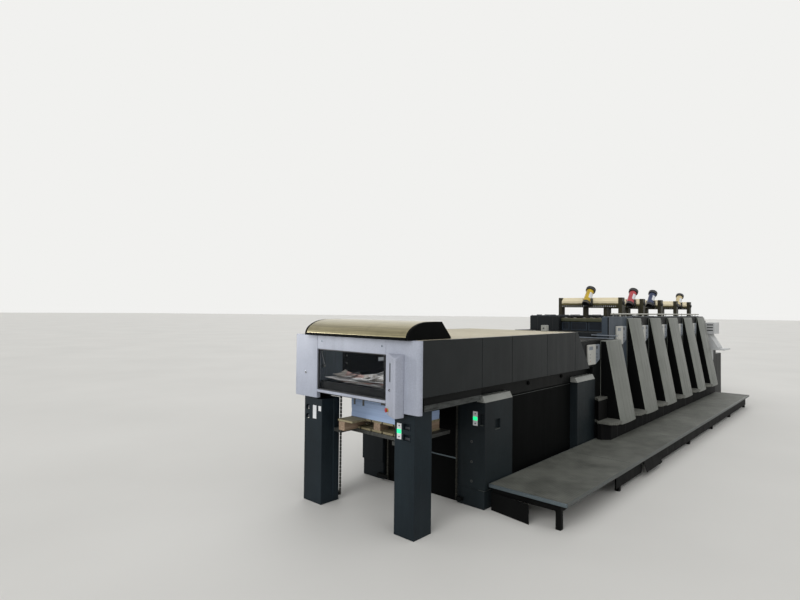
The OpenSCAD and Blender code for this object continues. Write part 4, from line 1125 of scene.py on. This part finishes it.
def makeUnits(look):
    finishNode("coating_unit", frameEnamel, 0.005)
    for k in range(1, units + 1):
        finishNode(f"printing_unit_{k}", firstUnitEnamel if k == 1 else frameEnamel, 0.006, 3)
    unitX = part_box("printing_unit_1")[0].x
    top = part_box("printing_unit_2")[1].z
    in0, in1 = look["inner"]
    allUnits = [(k * pitch, 0, 0) for k in range(units)]
    # rolled cross beams on the rear edge of each well, a tarnished shim and clamps on them
    x0, x1, z0, z1 = look["beam"]
    beam = newBlock((unitX + x0, in0, z0), (unitX + x1, in1, z1), 0.012, 4, oliveEnamel)
    shim = newBlock((unitX + x0 + 0.012, in0 + 0.01, z1 - 0.001), (unitX + x0 + 0.046, in1 - 0.01, z1 + 0.003),
        0.001, material=tarnish)
    clamp = newBlock((unitX + x0 + 0.008, in0 + 0.05, z1), (unitX + x0 + 0.052, in0 + 0.085, z1 + 0.012), 0.004,
        material=boltMetal)
    repeated(clamp, 6, (0, 0.155, 0))
    parts = scattered(beam, allUnits) + scattered(shim, allUnits) + scattered(clamp, allUnits)
    settle("cross_beams", parts)
    # ink and water rollers in the wells behind the first
    for index, (x, z, radius) in enumerate(look["rollers"]):
        body = newDrum((unitX + x, in0 + 0.015, z), (unitX + x, in1 - 0.015, z), radius, 0.004, 40,
            chromeMetal if index == 1 else rollerRubber)
        journal = newDrum((unitX + x, in0, z), (unitX + x, in1, z), radius * 0.35, 0.002, 20, chromeMetal)
        settle(f"well_rollers_{index + 1}", scattered(body, allUnits[1:]) + scattered(journal, allUnits[1:]))
    # the first unit's open front: framed panels on its rear wall, floor plates, door seams, corner gap
    z0, z1 = look["panelZ"]
    wallX = unitX + 0.660
    parts = []
    for y0, y1 in look["panels"]:
        panel = newBlock((wallX - 0.016, outerY + y0, z0), (wallX + 0.002, outerY + y1, z1), 0.002,
            material=panelFrameEnamel)
        panel.data.materials.append(wellEnamel)
        parts.append(sunkPanel(panel, lambda centre, normal: normal.x < -0.99, 0.016, -0.007, 1))
    floorZ = 1.650
    for x0, x1, y0, y1 in ((0.012, 0.318, in0 + 0.012, in1 - 0.004), (0.326, 0.636, in0 + 0.012, in1 - 0.004),
            (0.012, 0.262, in1 + 0.004, 0.757), (0.270, 0.530, in1 + 0.004, 0.757)):
        plate = newBlock((unitX + x0, y0, floorZ), (unitX + x1, y1, floorZ + 0.006), 0.002, material=frameEnamel)
        parts.append(sunkPanel(plate, lambda centre, normal: normal.z > 0.99, 0.030, -0.002))
    for y in look["frontSeams"]:
        parts.append(newBlock((unitX + 0.5385, outerY + y - 0.002, 1.662), (unitX + 0.545, outerY + y + 0.002,
            top - 0.008), 0, material=blackPlastic))
    parts.append(newBlock((unitX - 0.0015, -0.7705, 1.585), (unitX + 0.010, -0.757, top - 0.004), 0.001,
        material=underEnamel))
    settle("first_unit_front", parts)
    # light tubes across the rear of the coating unit, in front of the first unit
    parts = []
    for x, y0, y1, z in look["tubes"]:
        parts.append(newDrum(spot(x, y0, z), spot(x, y1, z), 0.008, 0.002, 20, stripCoat))
        for y in (y0 + 0.16, y1 - 0.02):
            parts.append(newBlock(spot(x - 0.006, y - 0.012, z - 0.004), spot(4.243, y + 0.012, z + 0.004), 0.002,
                material=boltMetal))
    settle("cross_tubes", parts)
    # lids on the side frames, with screws and grip rails
    parts, spots = [], []
    narrow = newBlock((unitX + 0.030, -0.762, top - 0.002), (unitX + pitch - 0.034, -0.676, top + 0.008),
        look["lidEase"], material=unitEnamel)
    parts += scattered(narrow, allUnits)
    spots += [(unitX + k * pitch + x, y, top + 0.008) for k in range(units) for x in (0.06, 0.36, 0.66, 0.96)
        for y in (-0.750, -0.688)]
    for k in range(units):
        begin = 0.560 if k == 0 else 0.030
        for y0, y1 in ((0.262, 0.505), (0.513, 0.757)):
            lid = newBlock((unitX + k * pitch + begin, y0, top - 0.002), (unitX + (k + 1) * pitch - 0.034, y1,
                top + 0.008), look["lidEase"], material=unitEnamel)
            lid.data.materials.append(wellEnamel)
            parts.append(sunkPanel(lid, lambda centre, normal: normal.z > 0.99, 0.022, -0.002, 1))
            for x in (unitX + k * pitch + begin + 0.05, unitX + (k + 1) * pitch - 0.13):
                parts.append(newBlock((x, (y0 + y1) / 2 - 0.050, top + 0.006), (x + 0.018, (y0 + y1) / 2 + 0.050,
                    top + 0.022), 0.006, material=blackPlastic))
            spots += [(unitX + k * pitch + x, y, top + 0.008) for x in (begin + 0.012, pitch - 0.046)
                for y in (y0 + 0.012, y1 - 0.012)]
    settle("unit_lids", parts + screwsAt(spots, (0, 0, 1), 0.008, 0.005))
    # guard plates over the gap between wells
    plate = newBlock((unitX + 0.712, in0 + 0.01, top - 0.056), (unitX + pitch - 0.010, in1 - 0.01, top - 0.047),
        0.003, material=frameEnamel)
    sunkPanel(plate, lambda centre, normal: normal.z > 0.99, 0.018, -0.003)
    settle("well_plates", scattered(plate, allUnits))
    # lids with recessed grips over the coating unit
    coatLow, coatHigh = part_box("coating_unit")
    parts = []
    for y0, y1 in ((-0.757, -0.262), (-0.254, 0.254), (0.262, 0.757)):
        lid = newBlock((coatLow.x + 0.480, y0, coatHigh.z - 0.002), (coatHigh.x - 0.060, y1, coatHigh.z + 0.006),
            0.003, material=frameEnamel)
        lid.data.materials.append(underEnamel)
        parts.append(sunkPanel(lid, lambda centre, normal: normal.z > 0.99, 0.028, -0.002))
        parts.append(newBlock((coatLow.x + 0.500, (y0 + y1) / 2 - 0.06, coatHigh.z + 0.004), (coatLow.x + 0.520,
            (y0 + y1) / 2 + 0.06, coatHigh.z + 0.020), 0.006, material=blackPlastic))
    settle("coating_lids", parts)


makeUnits(unitLook)
print("units done")


# Covers: folded sheet steel with a slight crown and rubbed edges in a lighter enamel as a painted highlight,
# cheeks in matt black as painted shade, and a latch near the upper rear edge
coverLook = {
    "length": 0.560,
    "ease": 0.011,
    "crown": 0.011,
    "latch": (0.095, 0.020, 0.045),
    "ribs": (0.30, 0.52, 0.74),
    "ribHigh": 0.55,
}


def makeCovers(look):
    coverL = look["length"]
    for node, slotSide, side in (("covers_operator", "operator", -1), ("covers_drive", "drive", 1)):
        low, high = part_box(node)
        whole = mergedCopy(node)
        parts, latches = [], []
        for k in range(units + 1):
            x0 = low.x + k * pitch
            lid = copied(whole)
            cutAway(lid, (x0 + coverL + 0.05, 0, 0), (1, 0, 0))
            cutAway(lid, (x0 - 0.05, 0, 0), (-1, 0, 0))
            activate(lid)
            bpy.ops.object.mode_set(mode="EDIT")
            for share in (0.1, 0.25, 0.4, 0.5, 0.6, 0.75, 0.9):
                bpy.ops.mesh.select_all(action="SELECT")
                bpy.ops.mesh.bisect(plane_co=(x0 + coverL * share, 0, 0), plane_no=(1, 0, 0))
            leaveEdit()
            top = max(v.co.z for v in lid.data.vertices)
            for vertex in lid.data.vertices:
                across = (vertex.co.x - x0) / coverL
                if abs(vertex.co.y) > 0.775 and 0.02 < across < 0.98:
                    vertex.co.y -= side * look["crown"] * (2 * across - 1) ** 2
                elif abs(vertex.co.y) > 0.775:
                    vertex.co.y -= side * look["crown"]
            for paint in (coverEnamel, underEnamel, coverEdgeHighlightEnamel):
                lid.data.materials.append(paint)
            # the cheeks, facing along the press, take the matt black enamel instead of the cover colour: painted shade
            for polygon in lid.data.polygons:
                polygon.material_index = 1 if abs(polygon.normal.x) > 0.8 else 0
            # the eased edges take the lighter edge enamel in slot 2: painted highlight
            easeEdges(lid, look["ease"], 4, 30, 2)
            parts.append(lid)
            drop, wide, tall = look["latch"]

            def outAt(z):
                return 0.769 + 0.044 + (0.310 - 0.044) * (1.865 - z) / (1.865 - 0.43)

            z = top - drop
            latch = newBlock((x0 + coverL - wide, side * (outAt(z) - 0.018), z - tall / 2),
                (x0 + coverL + 0.006, side * (outAt(z) - 0.003), z + tall / 2), 0.003, material=blackPlastic)
            latches.append(latch)
            # shallow pressed ribs run down the lower part of the face
            for share in look["ribs"]:
                x = x0 + coverL * share
                zTop, zLow = low.z + (top - low.z) * look["ribHigh"], low.z + 0.05
                sag = look["crown"] * (2 * share - 1) ** 2
                rib = newDrum((x, side * (outAt(zLow) - sag - 0.0035), zLow), (x, side * (outAt(zTop) - sag - 0.0035),
                    zTop), 0.005, 0.002, 12, coverEnamel)
                parts.append(rib)
        bpy.data.objects.remove(whole)
        settle("unit_covers_" + slotSide, parts, stands=[node])
        settle("cover_latches_" + slotSide, latches)


makeCovers(coverLook)
print("covers done")


# Display panels: a white panel and a grey strip that curves down at its outer side
displayLook = {"length": 0.400, "face": -0.794, "back": -0.769, "tall": 0.270, "share": 0.62, "ease": 0.006}


def makeDisplays(look):
    length, face, back, tall = (look[key] for key in ("length", "face", "back", "tall"))
    x0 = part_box("covers_operator")[0].x - 0.060 - length
    parts = []
    for k in range(units + 1):
        x = x0 + k * pitch
        z = 1.245 if k == 0 else 1.480
        split = x + length * look["share"]
        parts.append(newBlock((x, face, z), (split, back, z + tall), look["ease"], 3, displayCoat))
        strip = newBlock((split + 0.004, face + 0.004, z), (x + length, back, z + tall - 0.002), 0.012, 4, stripCoat)
        for vertex in strip.data.vertices:  # the outer side hangs in a curve
            across = max(0, (vertex.co.x - split) / (x + length - split) - 0.55)
            if vertex.co.z < z + tall * 0.5:
                vertex.co.z += across * 0.14
        parts.append(strip)
        parts.append(newBlock((split + 0.022, face + 0.001, z + 0.206), (split + 0.066, face + 0.006, z + 0.246),
            0.001, material=blackPlastic))
        parts.append(newBlock((x + 0.030, face - 0.0006, z + 0.200), (x + 0.150, face + 0.001, z + 0.246), 0.0004,
            material=stripCoat))
        for row in range(3):
            keyZ = z + 0.05 + row * 0.045
            parts.append(newDrum((split + 0.044, face + 0.005, keyZ), (split + 0.044, face, keyZ), 0.011, 0.001,
                20, keyPlastic))
            parts.append(newDrum((x + 0.060, face + 0.001, keyZ), (x + 0.060, face - 0.0006, keyZ), 0.008, 0.0004,
                16, keyPlastic if row else redPlastic))
    settle("display_panels", parts, stands=["unit_displays"])


makeDisplays(displayLook)
print("displays done")


# Toe boxes, and steps with ribbed rubber treads on black boxes
stepLook = {"padTop": 0.5035, "treadFrom": 0.763, "ease": 0.006, "nose": 0.008}


def makeSteps(look):
    finishNode("toe_boxes", boxEnamel, 0.004)
    pads = cutAway(mergedCopy("step_pads"), (0, 0, look["padTop"]), (0, 0, 1))
    tread = cutAway(mergedCopy("step_pads"), (0, 0, look["treadFrom"]), (0, 0, -1))
    riser = cutAway(mergedCopy("step_pads"), (0, 0, look["treadFrom"] + 0.001), (0, 0, 1))
    cutAway(riser, (0, 0, look["padTop"]), (0, 0, -1))
    for piece, paint in ((pads, padRubber), (tread, padRubber), (riser, boxEnamel)):
        easeEdges(piece, look["ease"], 3)
        piece.data.materials.append(paint)
    settle("step_treads", [pads, tread, riser], stands=["step_pads"])
    boxLow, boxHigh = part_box("toe_boxes")
    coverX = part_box("covers_operator")[0].x
    parts = []
    for k in range(units + 1):
        for x in (coverX + k * pitch - 0.006, coverX + k * pitch + 0.30):
            parts.append(newBlock((x - 0.002, boxLow.y - 0.0006, 0.265), (x + 0.002, boxLow.y + 0.001, 0.425), 0,
                material=blackPlastic))
    settle("toe_box_seams", [bothSides(part) for part in parts])


makeSteps(stepLook)
print("steps done")


# Footboards: ribbed rubber in an aluminium edge, on a welded frame with skirts
boardLook = {"trimHeight": 0.034, "rim": 0.016, "joints": 4}


def makeBoards(look):
    for node in ("footboard_operator", "footboard_drive"):
        low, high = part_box(node)
        z0 = high.z - look["trimHeight"]
        rim = look["rim"]
        side = -1 if low.y < 0 else 1
        outer, inner = (low.y, high.y) if low.y < 0 else (high.y, low.y)
        mat = mergedCopy(node)
        cutAway(mat, (0, outer - side * rim, 0), (0, side, 0))
        cutAway(mat, (low.x + rim, 0, 0), (-1, 0, 0))
        easeEdges(mat, 0.003, 3)
        mat.data.materials.append(boardRubber)
        settle(node + "_mat", [mat], stands=[node])
        parts = [newBlock((low.x, low.y, z0), (low.x + rim + 0.001, high.y, high.z), 0.004, 3, trimMetal)]
        parts.append(newBlock((low.x + 0.002, outer - side * (rim + 0.001), z0), (high.x, outer, high.z), 0.004, 3,
            wornEdge))
        parts.append(newBlock((low.x + 0.002, inner, z0), (high.x, inner + side * 0.010, high.z + 0.001), 0.002, 2,
            wornEdge))
        for index in range(1, look["joints"] + 1):
            x = low.x + (high.x - low.x) * index / (look["joints"] + 1)
            parts.append(newBlock((x - 0.004, low.y + rim, high.z - 0.002), (x + 0.004, high.y - rim,
                high.z + 0.0012), 0.001, material=wornEdge))
        settle(node + "_trim", parts)
    finishNode("board_frames", boxEnamel, 0.002)
    finishNode("board_skirts", boxEnamel, 0.001)
    finishNode("loose_skirts", boxEnamel, 0.001)


makeBoards(boardLook)
print("boards done")


# Conduit rail with clips
railLook = {"clips": 10, "step": 0.515, "first": 0.08}


def makeRail(look):
    finishNode("conduit_rail", railMetal, 0)
    low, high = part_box("conduit_rail")
    z = high.z - 0.011
    y = (low.y + high.y) / 2
    parts = []
    for index in range(look["clips"]):
        x = low.x + look["first"] + index * look["step"]
        parts.append(newRing((x, y, z), (1, 0, 0), 0.0125, 0.0025, boltMetal))
        parts.append(newBlock((x - 0.007, y - 0.004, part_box("printing_unit_1")[1].z + 0.006), (x + 0.007, y + 0.004,
            z - 0.008), 0.002, material=boltMetal))
    settle("rail_clips", parts)


makeRail(railLook)


# Ink fountains: beam with blade keys, cheeks with hand wheels, and the guard stained by dried ink below
fountainLook = {"keys": 28, "keyRadius": 0.007, "wheel": (0.090, 0.035, 0.030), "lid": 0.018}


def makeFountains(look):
    for k in range(1, units + 1):
        finishNode(f"ink_fountain_{k}", fountainEnamel, 0.006, 3)
    finishNode("fountain_guards", guardEnamel, 0.006, 3)
    low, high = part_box("ink_fountain_1")
    guardLow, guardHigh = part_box("fountain_guards")
    beamZ = guardLow.z
    frontX = guardLow.x - 0.010
    key = newDrum((frontX + 0.001, guardLow.y + 0.03, beamZ - 0.020), (frontX - 0.012, guardLow.y + 0.03,
        beamZ - 0.020), look["keyRadius"], 0.0015, 12, chromeMetal)
    repeated(key, look["keys"], (0, (guardHigh.y - guardLow.y - 0.06) / (look["keys"] - 1), 0))
    shifts = [(k * pitch, 0, 0) for k in range(units)]
    settle("fountain_keys", scattered(key, shifts))
    # an olive drip ledge along the beam, behind the run of the cartridges
    ledge = newBlock((frontX - 0.001, guardLow.y + 0.002, beamZ - 0.010), (frontX + 0.011, guardHigh.y - 0.002,
        beamZ - 0.0005), 0.003, material=oliveEnamel)
    settle("fountain_ledges", scattered(ledge, shifts))
    dx, dz, radius = look["wheel"]
    parts = []
    for side in (-1, 1):
        y = side * high.y
        wheel = newDrum((frontX + dx, y, beamZ + dz), (frontX + dx, y + side * 0.018, beamZ + dz), radius, 0.005, 24,
            blackPlastic)
        sunkPanel(wheel, lambda centre, normal: normal.y * side > 0.99, 0.010, -0.005)
        parts += scattered(wheel, shifts)
        hub = newDrum((frontX + dx, y, beamZ + dz), (frontX + dx, y + side * 0.016, beamZ + dz), 0.008, 0.002, 16,
            boltMetal)
        parts += scattered(hub, shifts)
    settle("fountain_knobs", parts)


makeFountains(fountainLook)
print("fountains done")


# Ink cartridges: ribbed body, foot ring, open cap with a bright rim, blank label and carriage
cartridgeLook = {"tilt": 42, "radius": 0.0595, "length": 0.313, "capRadius": 0.079, "ahead": 0.140,
    "footHigh": 0.010, "carriage": (0.0745, 0.150, 0.109)}


def makeCartridges(look):
    colours = {1: (yellowPlastic, "yellow_plastic"), 2: (magentaPlastic, "magenta_plastic"),
        3: (bluePlastic, "blue_plastic"), 5: (beigePlastic, "beige_plastic")}
    radius, length, capRadius = look["radius"], look["length"], look["capRadius"]
    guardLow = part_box("fountain_guards")[0]
    tilt = math.radians(look["tilt"])
    for number, (paint, slotName) in colours.items():
        node = f"ink_cartridge_{number}"
        low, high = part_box(node)
        midY = (low.y + high.y) / 2
        faceX = guardLow.x + (number - 1) * pitch
        place = (Matrix.Translation((faceX - look["ahead"], midY, guardLow.z + look["footHigh"]))
            @ Matrix.Rotation(tilt, 4, "Y"))
        body = newDrum((0, 0, 0.012), (0, 0, length - 0.01), radius, 0.006, 48, paint)
        parts = [body]
        for z in (0.018, 0.062, length - 0.075, length - 0.02):
            parts.append(newRing((0, 0, z), (0, 0, 1), radius - 0.0025, 0.004, paint))
        foot = newDrum((0, 0, 0), (0, 0, 0.055), radius + 0.0010, 0.004, 48, blackPlastic)
        sunkPanel(foot, lambda centre, normal: normal.z < -0.99, 0.012, -0.010)
        parts.append(foot)
        cap = newDrum((0, 0, length - 0.012), (0, 0, length + 0.046), capRadius, 0.006, 48, blackPlastic)
        cap.data.materials.append(chainMetal)
        sunkPanel(cap, lambda centre, normal: normal.z > 0.99 and centre.z > length + 0.04, 0.014, -0.030, 1)
        parts.append(cap)
        parts.append(newRing((0, 0, length + 0.0440), (0, 0, 1), capRadius - 0.012, 0.0045, chromeMetal))
        parts.append(newDrum((0, 0, length + 0.010), (0, 0, length + 0.030), 0.018, 0.004, 24, blackPlastic))
        for z in (length + 0.004, length + 0.020, length + 0.036):
            parts.append(newRing((0, 0, z), (0, 0, 1), capRadius - 0.0015, 0.0025, blackPlastic))
        # the label wraps part of the side
        label = newDrum((0, 0, 0.120), (0, 0, 0.240), radius + 0.0012, 0.0004, 48, whitePlastic)
        cutAway(label, (0, -radius * 0.55, 0), (0, 1, 0))
        parts.append(label)
        for part in parts:
            part.data.transform(place)
        deep, wide, tall = look["carriage"]
        x1 = faceX - 0.0005
        parts.append(newBlock((x1 - deep, midY - wide / 2, guardLow.z + 0.0005), (x1, midY + wide / 2,
            guardLow.z + tall), 0.008, 3, blackPlastic))
        parts.append(newBlock((x1 - deep * 0.8, midY - wide / 2 + 0.012, guardLow.z + tall - 0.001), (x1 - 0.012,
            midY + wide / 2 - 0.012, guardLow.z + tall + 0.006), 0.003, material=chainMetal))
        parts.append(newBlock((x1 - deep - 0.002, midY - 0.060, guardLow.z + 0.04), (x1 - deep + 0.004, midY - 0.020,
            guardLow.z + 0.09), 0.001, material=whitePlastic))
        settle(f"cartridge_{number}_set", parts, f"cartridge_{number}", [node])


makeCartridges(cartridgeLook)
print("cartridges done")


# Feeder: side frames, suction head with its tubes, feed board with tapes, console
feederLook = {"tapes": 6, "tapeWidth": 0.045, "tapeReach": 0.48, "cups": (-0.15, -0.05, 0.05, 0.15),
    "boardRise": 0.15}


def makeFeeder(look):
    finishNode("feeder_side_frames", frameEnamel, 0.006, 3)
    finishNode("feeder_head", frameEnamel, 0.005)
    finishNode("feed_board", railMetal, 0.003)
    finishNode("feeder_pile_board", platformMetal, 0.004)
    finishNode("feeder_console", hutchEnamel, 0.005, 3)
    low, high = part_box("feeder_console")
    boxX = low.x + 0.040
    parts = []
    for z in (1.70, 1.64, 1.58):
        parts.append(newBlock((boxX - 0.002, -0.92, z - 0.012), (boxX + 0.002, -0.80, z + 0.012), 0.001,
            material=blackPlastic))
    settle("feeder_console_slots", parts)
    # tapes run up the board, over a roller at its high end
    low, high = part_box("feed_board")
    slope = math.degrees(math.atan2(look["boardRise"], high.x - low.x))
    run = math.hypot(look["boardRise"], high.x - low.x)
    topZ = high.z - look["boardRise"]
    tape = newBlock((low.x + 0.02, -look["tapeReach"], topZ - 0.001), (low.x + run - 0.03,
        -look["tapeReach"] + look["tapeWidth"], topZ + 0.004), 0.0015, material=beltWeb)
    repeated(tape, look["tapes"], (0, (2 * look["tapeReach"] - look["tapeWidth"]) / (look["tapes"] - 1), 0))
    turned(tape, -slope, "Y", (low.x, 0, topZ))
    edge = newBlock((low.x + 0.01, -0.60, topZ - 0.001), (low.x + run - 0.02, -0.575, topZ + 0.028), 0.003,
        material=trimMetal)
    turned(edge, -slope, "Y", (low.x, 0, topZ))
    roller = newDrum((high.x - 0.012, low.y + 0.004, high.z - 0.012), (high.x - 0.012, high.y - 0.004, high.z - 0.012),
        0.016, 0.003, 32, chromeMetal)
    settle("feed_tapes", [tape, bothSides(edge), roller])
    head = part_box("feeder_head")
    cups = []
    for y in look["cups"]:
        x = head[1].x - 0.05
        cups.append(newDrum((x, y, 1.33), (x, y, 1.25), 0.014, 0.003, 20, chromeMetal))
        cups.append(newDrum((x, y, 1.26), (x, y, 1.24), 0.022, 0.004, 20, blackPlastic))
    settle("suction_feet", cups)


makeFeeder(feederLook)
print("feeder done")


# Studio: pale floor, soft light
stageLook = {"size": 400, "colour": "D9D8D4", "shade": "D3D2CE"}


def makeStage(look):
    deselect()
    bpy.ops.mesh.primitive_plane_add(size=look["size"], location=(0, 0, 0))
    floor = bpy.context.object
    floor.name = "studio_floor"
    material, tree, shader, place = startMaterial("pale studio floor")
    cloud = addNode(tree, "TexNoise", {"Vector": place, "Scale": 0.35, "Detail": 4})
    base = addNode(tree, "ValToRGB", {"Fac": cloud.outputs["Fac"]},
        [(0.3, look["shade"]), (0.7, look["colour"])])
    tree.links.new(base.outputs["Color"], shader.inputs["Base Color"])
    shader.inputs["Roughness"].default_value = 0.7
    shader.inputs["Specular IOR Level"].default_value = 0.2
    floor.data.materials.append(material)


# The hood mirrors one large soft lamp beyond the drive side; the suns and the sky do the rest
lightLook = {
    "world": 0.50,
    "background": "F1F1EF",
    "suns": (
        ("keySun", (1.0, 0.15, -0.55), 1.25, 40),
        ("topSun", (-0.15, 0.25, -1.0), 0.35, 60),
        ("sideSun", (0.1, 1.0, -0.35), 0.40, 60),
        ("backSun", (-0.9, -0.6, -0.5), 0.5, 60),
    ),
    "softbox": ((-8.2, 3.95, 1.95), (-5.70, 0.40, 1.75), 1.0, 4, 40),
    "workLamp": ((-5.25, 0.05, 1.63), 0.5, 1.8),
}


def makeLight(look):
    world = bpy.data.worlds.new("studioWorld")
    bpy.context.scene.world = world
    world.use_nodes = True
    tree = world.node_tree
    tree.nodes.clear()
    light = addNode(tree, "Background", {"Color": linear("FFFFFF"), "Strength": look["world"]})
    seen = addNode(tree, "Background", {"Color": linear(look["background"]), "Strength": 1.0})
    path = addNode(tree, "LightPath")
    glossy = addNode(tree, "Math",
        {0: path.outputs["Is Camera Ray"], 1: path.outputs["Is Glossy Ray"]}, operation="MAXIMUM")
    either = addNode(tree, "Math",
        {0: glossy.outputs[0], 1: path.outputs["Is Transmission Ray"]}, operation="MAXIMUM")
    mix = addNode(tree, "MixShader", {0: either.outputs[0], 1: light.outputs[0], 2: seen.outputs[0]})
    addNode(tree, "OutputWorld", {"Surface": mix.outputs[0]})
    for name, direction, strength, angle in look["suns"]:
        data = bpy.data.lights.new(name, "SUN")
        data.energy = strength
        data.angle = math.radians(angle)
        lamp = bpy.data.objects.new(name, data)
        lamp.rotation_euler = Vector(direction).to_track_quat("-Z", "Y").to_euler()
        bpy.context.scene.collection.objects.link(lamp)
    place, target, size, power, spread = look["softbox"]
    data = bpy.data.lights.new("softbox", "AREA")
    data.shape = "SQUARE"
    data.size = size
    data.energy = power
    data.spread = math.radians(spread)
    lamp = bpy.data.objects.new("softbox", data)
    lamp.location = place
    lamp.rotation_euler = (Vector(target) - Vector(place)).to_track_quat("-Z", "Y").to_euler()
    lamp.visible_camera = False
    bpy.context.scene.collection.objects.link(lamp)
    # the small work lamp under the delivery's deck
    place, size, power = look["workLamp"]
    data = bpy.data.lights.new("workLamp", "AREA")
    data.size = size
    data.energy = power
    lamp = bpy.data.objects.new("workLamp", data)
    lamp.location = place
    lamp.visible_camera = False
    bpy.context.scene.collection.objects.link(lamp)


makeStage(stageLook)
makeLight(lightLook)
bpy.context.scene.view_settings.view_transform = "Standard"
print("stage and light done")
